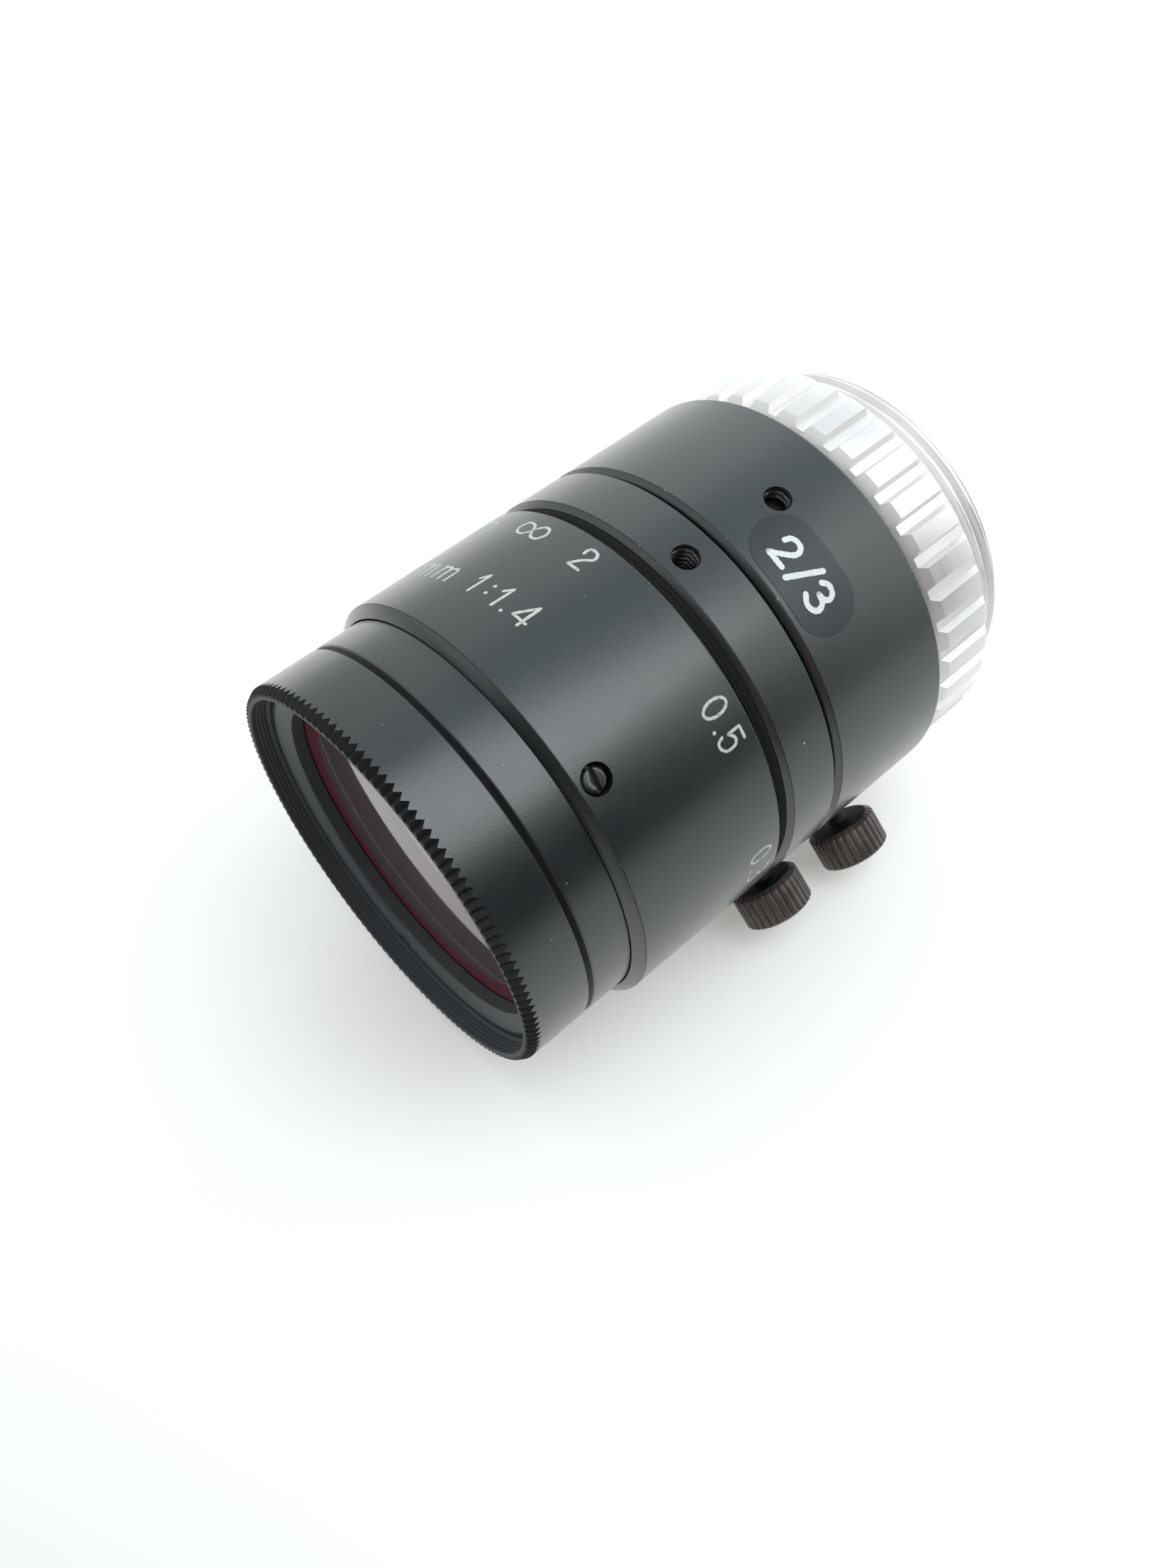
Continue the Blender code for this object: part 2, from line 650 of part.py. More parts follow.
def lock_screw(name, tip, station, parent):
    """Knurled thumbscrew; its own Z axis is the screw's axis, pointing away from the lens."""
    bm = bmesh.new()
    end = lock_head_end()
    sides = LOCK_HEAD_TEETH

    def ring(radius, height):
        angles = [2 * math.pi * n / sides for n in range(sides)]
        return [
            bm.verts.new(Vector((radius * math.cos(t), radius * math.sin(t), height)) * MM) for t in angles
        ]

    def toothed(height):
        corners = []
        for n in range(2 * sides):
            radius = LOCK_HEAD_RADIUS - (LOCK_TOOTH_DEPTH if n % 2 else 0)
            angle = math.pi * n / sides
            corners.append(bm.verts.new(Vector((radius * math.cos(angle), radius * math.sin(angle), height)) * MM))
        return corners

    core = LOCK_HEAD_RADIUS - LOCK_TOOTH_DEPTH - LOCK_HEAD_BEVEL
    loops = [
        ring(LOCK_SHANK_RADIUS, tip),
        ring(LOCK_SHANK_RADIUS, LOCK_HEAD_START),
        ring(core, LOCK_HEAD_START),
        toothed(LOCK_HEAD_START + LOCK_HEAD_BEVEL),
        toothed(end - LOCK_HEAD_BEVEL / 2),
        ring(core, end),
    ]
    for one, other in zip(loops, loops[1:]):
        bridge(bm, one, other)
    bm.faces.new(loops[0])
    bm.faces.new(loops[-1])
    screw = finish_object(name, bm, DARK_STEEL, parent)
    screw.matrix_local = radial_frame(LOCK_AZIMUTH, station)
    return screw


# Iris

def pivot_azimuth(number):
    return LOCK_AZIMUTH + BLADE_AZIMUTH + 360 * number / BLADE_COUNT


def flat_point(radius, azimuth):
    """A point across the lens, in millimetres, as its parts along +X and -Z."""
    angle = math.radians(azimuth)
    return Vector((radius * math.cos(angle), radius * math.sin(angle)))


def turned_about(point, centre, angle):
    """The point after a turn about a centre, in the plane across the lens."""
    away = point - centre
    c, s = math.cos(math.radians(angle)), math.sin(math.radians(angle))
    return centre + Vector((away.x * c - away.y * s, away.x * s + away.y * c))


def drive_pin_place(turn):
    """Place of the drive pin of a blade whose pivot is at azimuth 0, after the blade has turned."""
    pivot = flat_point(PIVOT_RADIUS, 0)
    lean = 90 + BLADE_TURN / 2
    rest = pivot + flat_point(DRIVE_OFFSET, lean)
    return turned_about(rest, pivot, turn)


def plate(name, corners, front, thickness, finish, parent):
    """A flat plate across the lens from its outline in millimetres."""
    bm = bmesh.new()
    start = [bm.verts.new(spot(0, 0, front) + Vector((p.x, 0, -p.y)) * MM) for p in corners]
    face = bm.faces.new(start)
    made = bmesh.ops.extrude_face_region(bm, geom=[face])
    moved = [part for part in made["geom"] if isinstance(part, bmesh.types.BMVert)]
    bmesh.ops.translate(bm, vec=(0, thickness * MM, 0), verts=moved)
    return finish_object(name, bm, finish, parent)


def arc_points(centre, radius, start, turn, steps):
    return [centre + flat_point(radius, start + turn * k / steps) for k in range(steps + 1)]


def blade_outline():
    """A crescent that lies outside the opening, with an ear for its pivot and one for its drive pin."""
    middle = (BLADE_INNER + BLADE_OUTER) / 2
    half = (BLADE_OUTER - BLADE_INNER) / 2
    pivot = flat_point(PIVOT_RADIUS, 0)
    drive = drive_pin_place(0)
    origin = Vector((0, 0))
    tip = flat_point(middle, -BLADE_SPAN)
    outline = arc_points(origin, BLADE_INNER, 0, -BLADE_SPAN, 16)
    outline += arc_points(tip, half, 180 - BLADE_SPAN, -180, 6)[1:-1]
    outline += arc_points(origin, BLADE_OUTER, -BLADE_SPAN, BLADE_SPAN - 9, 16)
    outline += arc_points(pivot, PIVOT_EAR, -90, 100, 4)
    outline += arc_points(drive, DRIVE_EAR, 0, 200, 6)
    outline += [flat_point(BLADE_INNER + half, 6)]
    return outline


def axial_pin(name, place, radius, front, rear, parent):
    bm = bmesh.new()
    corners = arc_points(place, radius, 0, 360 - 360 / PIN_SIDES, PIN_SIDES - 1)
    start = [bm.verts.new(Vector((p.x, front, -p.y)) * MM) for p in corners]
    face = bm.faces.new(start)
    made = bmesh.ops.extrude_face_region(bm, geom=[face])
    moved = [part for part in made["geom"] if isinstance(part, bmesh.types.BMVert)]
    bmesh.ops.translate(bm, vec=(0, (rear - front) * MM, 0), verts=moved)
    return finish_object(name, bm, BLADE_STEEL, parent)


def iris_blade(number, parent):
    """One blade in its own layer, with its origin on its pivot."""
    front = CAGE_FRONT + CAGE_PLATE + GAP + number * (BLADE_THICKNESS + GAP)
    rear = front + BLADE_THICKNESS
    pivot = empty(f"blade_pivot_{number + 1}", spot(PIVOT_RADIUS, pivot_azimuth(number), front), parent)
    pivot.rotation_euler = (0, math.radians(pivot_azimuth(number)), 0)
    bm = bmesh.new()
    centre = flat_point(PIVOT_RADIUS, 0)
    start = [bm.verts.new(Vector((p.x - centre.x, 0, centre.y - p.y)) * MM) for p in blade_outline()]
    face = bm.faces.new(start)
    made = bmesh.ops.extrude_face_region(bm, geom=[face])
    moved = [part for part in made["geom"] if isinstance(part, bmesh.types.BMVert)]
    bmesh.ops.translate(bm, vec=(0, BLADE_THICKNESS * MM, 0), verts=moved)
    blade = finish_object(f"iris_blade_{number + 1}", bm, BLADE_STEEL, pivot)
    inside = BLADE_THICKNESS / 2
    plate_front = CAGE_FRONT + GAP / 2 - front
    pivot_pin = axial_pin(
        f"pivot_pin_{number + 1}", Vector((0, 0)), BLADE_PIN_RADIUS, plate_front, inside, pivot
    )
    boolean(blade, pivot_pin, "UNION")
    cam_rear = cam_front() + CAM_THICKNESS - GAP / 2 - front
    drive_pin = axial_pin(
        f"drive_pin_{number + 1}", drive_pin_place(0) - centre, BLADE_PIN_RADIUS, inside, cam_rear, pivot
    )
    boolean(blade, drive_pin, "UNION")
    assert rear < cam_front()
    return blade


def iris_cage(parent):
    """Cup with the opening that the blades close down, and a hole for each pivot pin."""
    outer = CAGE_RADIUS
    rear = cam_front() - GAP
    floor = CAGE_FRONT + CAGE_PLATE
    outline = [
        (CAGE_FRONT, IRIS_OPENING),
        (CAGE_FRONT, outer),
        (rear, outer),
        (rear, outer - CAGE_WALL),
        (floor, outer - CAGE_WALL),
        (floor, IRIS_OPENING),
    ]
    cage = turned_ring("iris_cage", outline, MATT_BLACK, parent)
    for n in range(BLADE_COUNT):
        place = flat_point(PIVOT_RADIUS, pivot_azimuth(n))
        front = CAGE_FRONT - LENGTH / 2
        hole = axial_pin(
            f"pivot_hole_{n + 1}", place, BLADE_PIN_RADIUS + THREAD_GAP, front - 1, front + CAGE_PLATE + 1, parent
        )
        boolean(cage, hole)
    return cage


def cam_slot(number, parent):
    """The path of a drive pin as the cam ring sees it, widened to a slot."""
    steps = 14
    half = BLADE_PIN_RADIUS + GAP
    path = []
    for k in range(steps + 1):
        share = k / steps
        place = drive_pin_place(-BLADE_TURN * share)
        path.append(turned_about(place, Vector((0, 0)), pivot_azimuth(number) + IRIS_TURN * share))
    first = (path[1] - path[0]).normalized()
    final = (path[-1] - path[-2]).normalized()
    left, right = [], []
    for k, place in enumerate(path):
        along = (path[min(k + 1, steps)] - path[max(k - 1, 0)]).normalized()
        across = Vector((-along.y, along.x)) * half
        left.append(place + across)
        right.append(place - across)
    start_angle = math.degrees(math.atan2(first.y, first.x))
    end_angle = math.degrees(math.atan2(final.y, final.x))
    end_cap = arc_points(path[-1], half, end_angle + 90, -180, 6)[1:-1]
    start_cap = arc_points(path[0], half, start_angle - 90, -180, 6)[1:-1]
    outline = left + end_cap + right[::-1] + start_cap
    return plate(f"cam_slot_{number + 1}", outline, cam_front() - 1, CAM_THICKNESS + 2, BLADE_STEEL, parent)


def iris_group(parent):
    """Iris ring, its drive screw and the slotted cam ring, which turn together."""
    bore = SLEEVE_RADIUS + GAP
    outline = [
        (IRIS_RING_FRONT, bore),
        (IRIS_RING_FRONT, RING_RADIUS - RING_BEVEL / 2),
        (IRIS_RING_FRONT + RING_BEVEL / 2, RING_RADIUS),
        (IRIS_RING_REAR - RING_BEVEL, RING_RADIUS),
        (IRIS_RING_REAR, RING_RADIUS - RING_BEVEL),
        (IRIS_RING_REAR, bore),
    ]
    ring = turned_ring("iris_ring", outline, BLACK_ANODISED, parent)
    lock_holes(ring, IRIS_LOCK_STATION, bore, parent)
    azimuth = LOCK_AZIMUTH + DRIVE_SCREW_AZIMUTH
    hole = radial_cylinder(
        "drive_screw_hole", DRIVE_SCREW_RADIUS + THREAD_GAP, bore - 1, RING_RADIUS + 1,
        azimuth, drive_screw_station(), parent,
    )
    boolean(ring, hole)
    cam_outer = CAGE_RADIUS
    notch_floor = cam_outer - DRIVE_NOTCH_DEPTH
    radial_cylinder(
        "iris_drive_screw", DRIVE_SCREW_RADIUS, notch_floor + GAP, RING_RADIUS - 0.2,
        azimuth, drive_screw_station(), parent,
    )
    cam = plain_ring(
        "iris_cam_ring", cam_outer, CAM_BORE, cam_front(), cam_front() + CAM_THICKNESS, BLADE_STEEL,
        parent, OUTER_SIDES,
    )
    for n in range(BLADE_COUNT):
        boolean(cam, cam_slot(n, parent))
    notch = radial_block(
        "drive_notch_cutter", 2 * (DRIVE_SCREW_RADIUS + GAP), notch_floor, cam_outer + 1, azimuth,
        cam_front() - 1, cam_front() + CAM_THICKNESS + 1, parent,
    )
    boolean(cam, notch)


def iris_frame(parent):
    """The still pieces of the iris."""
    iris_cage(parent)
    front = iris_retainer_front()
    plain_ring(
        "iris_retaining_ring", CAGE_RADIUS, CAGE_RADIUS - IRIS_RETAINER_WIDTH,
        front, front + IRIS_RETAINER_THICKNESS, MATT_BLACK, parent,
    )


# Rear end

def mount_ring(parent):
    """Fluted camera mount with its flange face and the body of its thread."""
    bm = bmesh.new()
    coarse = 2 * FLUTE_COUNT
    start = LOCK_AZIMUTH + FLUTE_PHASE
    pitch = 360 / FLUTE_COUNT

    def fluted(land, floor, land_station, floor_station):
        corners = []
        half_top = math.degrees(FLUTE_TOP_WIDTH / 2 / LAND_RADIUS)
        half_floor = math.degrees(FLUTE_FLOOR_WIDTH / 2 / FLUTE_FLOOR)
        for n in range(FLUTE_COUNT):
            centre = start + pitch * n
            corners.append(bm.verts.new(spot(land, centre - half_top, land_station)))
            corners.append(bm.verts.new(spot(floor, centre - half_floor, floor_station)))
            corners.append(bm.verts.new(spot(floor, centre + half_floor, floor_station)))
            corners.append(bm.verts.new(spot(land, centre + half_top, land_station)))
        return corners

    flute_depth = LAND_RADIUS - FLUTE_FLOOR
    bevel_rear = MOUNT_FRONT + MOUNT_BEVEL
    front_ring = ring_of(bm, LAND_RADIUS - MOUNT_BEVEL, MOUNT_FRONT, coarse, start - pitch / 2)
    front_flutes = fluted(LAND_RADIUS, FLUTE_FLOOR, bevel_rear, bevel_rear - flute_depth)
    rear_station = FLANGE_STATION - FLANGE_BEVEL
    rear_flutes = fluted(LAND_RADIUS, FLUTE_FLOOR, rear_station, rear_station)
    flange_flutes = fluted(LAND_RADIUS - FLANGE_BEVEL, FLUTE_FLOOR, FLANGE_STATION, FLANGE_STATION)
    for n in range(FLUTE_COUNT):
        left, middle, right = front_ring[2 * n], front_ring[2 * n + 1], front_ring[(2 * n + 2) % coarse]
        four = front_flutes[4 * n:4 * n + 4]
        bm.faces.new([left, four[0], four[1], four[2], four[3], right, middle])
        following = front_flutes[(4 * n + 4) % (4 * FLUTE_COUNT)]
        bm.faces.new([right, four[3], following])
    bridge(bm, front_flutes, rear_flutes)
    bridge(bm, rear_flutes, flange_flutes)
    seat = ring_of(bm, MOUNT_THREAD_RADIUS + FLANGE_SEAT_STEP, FLANGE_STATION, coarse, start - pitch / 2)
    for n in range(FLUTE_COUNT):
        left, middle, right = seat[2 * n], seat[2 * n + 1], seat[(2 * n + 2) % coarse]
        four = flange_flutes[4 * n:4 * n + 4]
        bm.faces.new([left, four[0], four[1], four[2], four[3], right, middle])
        following = flange_flutes[(4 * n + 4) % (4 * FLUTE_COUNT)]
        bm.faces.new([right, four[3], following])
    thread_front = FLANGE_STATION + THREAD_RELIEF_WIDTH
    spigot_bore = SPIGOT_RADIUS + GAP
    undercut = FLANGE_STATION - FLANGE_UNDERCUT
    last = seat
    for station, radius in [
        (undercut, MOUNT_THREAD_RADIUS + FLANGE_SEAT_STEP),
        (undercut, THREAD_RELIEF_RADIUS),
        (thread_front, THREAD_RELIEF_RADIUS),
        (thread_front, MOUNT_THREAD_RADIUS),
        (LENGTH - THREAD_LEAD_IN, MOUNT_THREAD_RADIUS),
        (LENGTH, MOUNT_THREAD_RADIUS - THREAD_LEAD_IN),
        (LENGTH, MOUNT_BORE),
        (SPIGOT_REAR + GAP, MOUNT_BORE),
        (SPIGOT_REAR + GAP, spigot_bore),
        (MOUNT_FRONT, spigot_bore),
    ]:
        ring = ring_of(bm, radius, station, coarse, start - pitch / 2)
        bridge(bm, last, ring)
        last = ring
    bridge(bm, last, front_ring)
    return finish_object("mount_ring", bm, BRIGHT_ALUMINIUM, parent)


def rear_group(parent):
    """Rear cell with its glass, spacer and retaining ring."""
    body = MOUNT_BORE - GAP
    front = iris_retainer_front() + IRIS_RETAINER_THICKNESS + GAP
    lip_rear = front + CELL_LIP
    rear = LENGTH - CELL_REAR_STEP
    outline = [
        (front, CELL_LIP_RADIUS),
        (front, CAGE_RADIUS),
        (SPIGOT_REAR, CAGE_RADIUS),
        (SPIGOT_REAR, body),
        (rear, body),
        (rear, CELL_BORE),
        (lip_rear, CELL_BORE),
        (lip_rear, CELL_LIP_RADIUS),
    ]
    turned_ring("rear_cell", outline, MATT_BLACK, parent)
    seat = CELL_BORE - GAP
    first = lip_rear + GAP
    glass_element("rear_element_1", seat, first, first + REAR_GLASS_1, 0.8, 0, parent)
    ring = rear - REAR_RETAINER_DEPTH - REAR_RETAINER
    plain_ring(
        "rear_retaining_ring", seat, seat - REAR_RETAINER_WALL, ring, ring + REAR_RETAINER, MATT_BLACK, parent
    )
    second = ring - GAP - REAR_GLASS_2
    glass_element("rear_element_2", seat, second, second + REAR_GLASS_2, 0, -0.5, parent)
    spacer = first + REAR_GLASS_1 + GAP
    plain_ring("rear_spacer", seat, seat - SPACER_WALL, spacer, second - GAP, MATT_BLACK, parent)


def clear_scene():
    for leftover in list(bpy.data.objects):
        bpy.data.objects.remove(leftover, do_unlink=True)


def build():
    clear_scene()
    lens_axis = empty("lens_axis", Vector((axis_offset(), 0, RING_RADIUS)) * MM)
    slide = empty("focus_slide", (0, 0, 0), lens_axis)
    front_group(slide)
    focus_turn = empty("focus_turn", (0, 0, 0), slide)
    focus_group(focus_turn)
    main_barrel(lens_axis)
    lock_screw("focus_lock_screw", TUBE_RADIUS + GAP, FOCUS_LOCK_STATION, lens_axis)
    iris_turn = empty("iris_turn", (0, 0, 0), lens_axis)
    iris_group(iris_turn)
    lock_screw("iris_lock_screw", SLEEVE_RADIUS + GAP, IRIS_LOCK_STATION, iris_turn)
    iris_frame(lens_axis)
    for number in range(BLADE_COUNT):
        iris_blade(number, lens_axis)
    mount_ring(lens_axis)
    rear_group(lens_axis)


build()
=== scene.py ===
"""Looks of the compact machine vision lens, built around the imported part.

Sizes are in millimetres, as in the part's source: a station is the distance behind the front rim, and an
azimuth turns about the optical axis from +X towards -Z.
"""

import json
import math
import random

import bmesh
import bpy
from mathutils import Matrix, Vector

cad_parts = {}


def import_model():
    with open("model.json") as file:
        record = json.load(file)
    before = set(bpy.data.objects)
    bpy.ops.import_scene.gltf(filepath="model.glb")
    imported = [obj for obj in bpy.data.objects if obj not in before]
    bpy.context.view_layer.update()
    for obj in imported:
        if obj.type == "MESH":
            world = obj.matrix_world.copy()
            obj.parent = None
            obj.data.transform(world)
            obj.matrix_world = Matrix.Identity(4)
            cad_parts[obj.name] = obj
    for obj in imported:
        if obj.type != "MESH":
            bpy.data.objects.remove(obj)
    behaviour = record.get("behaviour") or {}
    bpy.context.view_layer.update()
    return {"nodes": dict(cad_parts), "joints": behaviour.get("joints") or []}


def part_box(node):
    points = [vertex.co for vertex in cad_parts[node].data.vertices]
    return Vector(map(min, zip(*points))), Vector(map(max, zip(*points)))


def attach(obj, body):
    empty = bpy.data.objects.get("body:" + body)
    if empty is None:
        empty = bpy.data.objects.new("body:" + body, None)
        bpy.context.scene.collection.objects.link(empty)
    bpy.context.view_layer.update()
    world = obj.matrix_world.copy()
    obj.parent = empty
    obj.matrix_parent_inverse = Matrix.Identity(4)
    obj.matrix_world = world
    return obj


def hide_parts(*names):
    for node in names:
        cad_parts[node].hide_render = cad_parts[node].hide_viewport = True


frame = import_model()

MM = 0.001
TURN = 2 * math.pi

# Facets round the lens, and round a small hole
SIDES = 280
FINE_SIDES = 72


# Places read from the frame

def stations(node):
    """First and last station of a CAD node."""
    low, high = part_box(node)
    return low.y / MM - START, high.y / MM - START


def joint(name):
    return next(found for found in frame["joints"] if found["name"] == name)


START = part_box("front_barrel")[0].y / MM
ring_low, ring_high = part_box("focus_ring")
AXIS_X = (ring_low.x + ring_high.x) / 2 / MM
AXIS_Z = (ring_low.z + ring_high.z) / 2 / MM
RING_RADIUS = (ring_high.z - ring_low.z) / 2 / MM
lock_axis = joint("focus_lock_turn")["axis"]
LOCK_AZIMUTH = math.degrees(math.atan2(-lock_axis[2], lock_axis[0]))
FOCUS_FRONT, FOCUS_REAR = stations("focus_ring")
IRIS_FRONT, IRIS_REAR = stations("iris_ring")
MOUNT_FRONT, MOUNT_REAR = stations("mount_ring")
FOCUS_END = FOCUS_REAR - 0.1
IRIS_FACE = IRIS_FRONT - 0.25
MIDDLE_REAR = IRIS_FACE - 0.4
MIDDLE_FRONT = MIDDLE_REAR - 3.95
FOCUS_LOCK_STATION = joint("focus_lock_turn")["pos_m"][1] / MM - START
IRIS_LOCK_STATION = joint("iris_lock_turn")["pos_m"][1] / MM - START

# Radii of the turned pieces, and the clearance between them
GAP = 0.3
BARREL_RADIUS = RING_RADIUS - 0.8
SLEEVE_RADIUS = RING_RADIUS - 1.3
TUBE_RADIUS = 11.75
TUBE_BORE = 10.3
FILTER_RADIUS = BARREL_RADIUS - 0.75
THREAD_RADIUS = 12.7
HOLE_RADIUS = 0.9
SPARE_TURN = 1.2
LAND_RADIUS = 14.35
RING_BEVEL = 0.25
FRONT_BEVEL = 0.35

# Set screws of the focus ring
SET_SCREW_STATION = 9.6
SET_SCREW_COUNT = 3
SLOT_TURN = -97.7

# Turns from the azimuth of the lock screws to other features, and the azimuth that faces the camera
TOOTH_PHASE = -46.5
NOTCH_PHASE = 58.9
SET_SCREW_PHASE = -92.2
FLUTE_PHASE = -104.7
FACING_AZIMUTH = -59.4

# Camera, solved from the photograph
FOCAL_LENGTH = 30.389
CAMERA_PLACE = (40.411, -39.200, 84.056)
CAMERA_TURN = (35.2407, 1.8195, 47.7554)


# Frames and meshes

LENS = Matrix((
    (1, 0, 0, AXIS_X * MM),
    (0, 0, 1, START * MM),
    (0, -1, 0, AXIS_Z * MM),
    (0, 0, 0, 1),
))


def radial_frame(azimuth, station):
    """Matrix whose local Z runs outwards from the optical axis and whose local X runs to the rear."""
    angle = math.radians(azimuth)
    outward = Vector((math.cos(angle), 0, -math.sin(angle)))
    along = Vector((0, 1, 0))
    side = outward.cross(along)
    turn = Matrix((along, side, outward)).transposed().to_4x4()
    return Matrix.Translation(Vector((AXIS_X, START + station, AXIS_Z)) * MM) @ turn


def around(radius, angle, height):
    return Vector((radius * math.cos(angle), radius * math.sin(angle), height)) * MM


def on_ring(along, station, radius=RING_RADIUS):
    """A point on a ring, so far along its surface from the azimuth that faces the camera."""
    angle = along / RING_RADIUS + math.radians(FACING_AZIMUTH)
    return LENS @ around(radius, angle, station)


def softened(outline, size=0.05, closed=True):
    """The outline with each corner cut back and rounded a little."""
    count = len(outline)
    result = []
    for n, corner in enumerate(outline):
        if not closed and n in (0, count - 1):
            result.append(corner)
            continue
        here = Vector(corner)
        before, after = Vector(outline[n - 1]), Vector(outline[(n + 1) % count])
        first, second = before - here, after - here
        if first.length < 1e-6 or second.length < 1e-6 or first.angle(second) > math.radians(165):
            result.append(corner)
            continue
        reach = min(size, first.length * 0.4, second.length * 0.4)
        one, two = here + first.normalized() * reach, here + second.normalized() * reach
        middle = (one + two) / 4 + here / 2
        result += [tuple(one), tuple(middle), tuple(two)]
    return result


def smoothed(made, sharp):
    """Smooth shading between sharp corners, in which large faces set the shading of their edges."""
    made.data.shade_smooth()
    made.data.set_sharp_from_angle(angle=math.radians(sharp))
    made.modifiers.new("weighted", "WEIGHTED_NORMAL").keep_sharp = True


def finished(name, bm, place, material, sharp=40):
    """Turns the bmesh into an object at its place, with outward faces."""
    bmesh.ops.transform(bm, matrix=place, verts=bm.verts)
    bmesh.ops.recalc_face_normals(bm, faces=bm.faces)
    mesh = bpy.data.meshes.new(name)
    bm.to_mesh(mesh)
    bm.free()
    mesh.materials.append(material)
    made = bpy.data.objects.new(name, mesh)
    bpy.context.scene.collection.objects.link(made)
    smoothed(made, sharp)
    return made


def turned(name, outline, material, sides=SIDES, place=LENS, shape=None, closed=True, worn=()):
    """Spins an outline of (station, radius) about local Z.

    The function shape may move each point by its angle, and worn lists corners with rubbed edges.
    """
    bm = bmesh.new()
    rings = []
    for station, radius in outline:
        ring = []
        for n in range(sides):
            angle = TURN * n / sides
            at, out = shape(station, radius, angle) if shape else (station, radius)
            ring.append(bm.verts.new(around(out, angle, at)))
        rings.append(ring)
    pairs = list(zip(rings, rings[1:]))
    if closed:
        pairs.append((rings[-1], rings[0]))
    ends = list(zip(outline, outline[1:] + outline[:1]))
    for (one, other), (first, second) in zip(pairs, ends):
        rubbed = any(math.dist(first, spot) < 0.06 and math.dist(second, spot) < 0.06 for spot in worn)
        for n in range(sides):
            after = (n + 1) % sides
            face = bm.faces.new((one[n], one[after], other[after], other[n]))
            face.material_index = 1 if rubbed else 0
    made = finished(name, bm, place, material)
    if worn:
        made.data.materials.append(EDGE)
    return made


def cylinder_cutter(radius, inner, outer, azimuth, station):
    bm = bmesh.new()
    bmesh.ops.create_cone(
        bm, cap_ends=True, segments=FINE_SIDES, radius1=radius * MM, radius2=radius * MM,
        depth=(outer - inner) * MM, matrix=Matrix.Translation((0, 0, (inner + outer) / 2 * MM)),
    )
    return finished("cutter", bm, radial_frame(azimuth, station), BLACK)


def block_cutter(size, height, place):
    """A box of this size whose middle is so high along the local Z of its place."""
    bm = bmesh.new()
    stretch = Matrix.Diagonal((*(value * MM for value in size), 1))
    bmesh.ops.create_cube(bm, size=1, matrix=Matrix.Translation((0, 0, height * MM)) @ stretch)
    return finished("cutter", bm, place, BLACK)


def cut(target, cutters):
    """Cuts the shapes out of the target for good and removes them."""
    target.modifiers.clear()
    for cutter in cutters:
        change = target.modifiers.new("cut", "BOOLEAN")
        change.object = cutter
        change.solver = "EXACT"
    bpy.context.view_layer.update()
    graph = bpy.context.evaluated_depsgraph_get()
    mesh = bpy.data.meshes.new_from_object(target.evaluated_get(graph))
    target.modifiers.clear()
    target.data = mesh
    smoothed(target, 40)
    for cutter in cutters:
        bpy.data.objects.remove(cutter, do_unlink=True)


def shade(piece, material, inside, place=LENS):
    """Gives another material to the faces whose middle lies inside, by its station and its radius."""
    piece.data.materials.append(material)
    back = place.inverted()
    for face in piece.data.polygons:
        spot = back @ face.center / MM
        if inside(spot.z, math.hypot(spot.x, spot.y)):
            face.material_index = len(piece.data.materials) - 1


def dress(piece, body, slot, *nodes):
    """Lets a finished piece ride on its body and stand for the CAD nodes that it covers."""
    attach(piece, body)
    if nodes:
        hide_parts(*nodes)
    return piece


# Materials

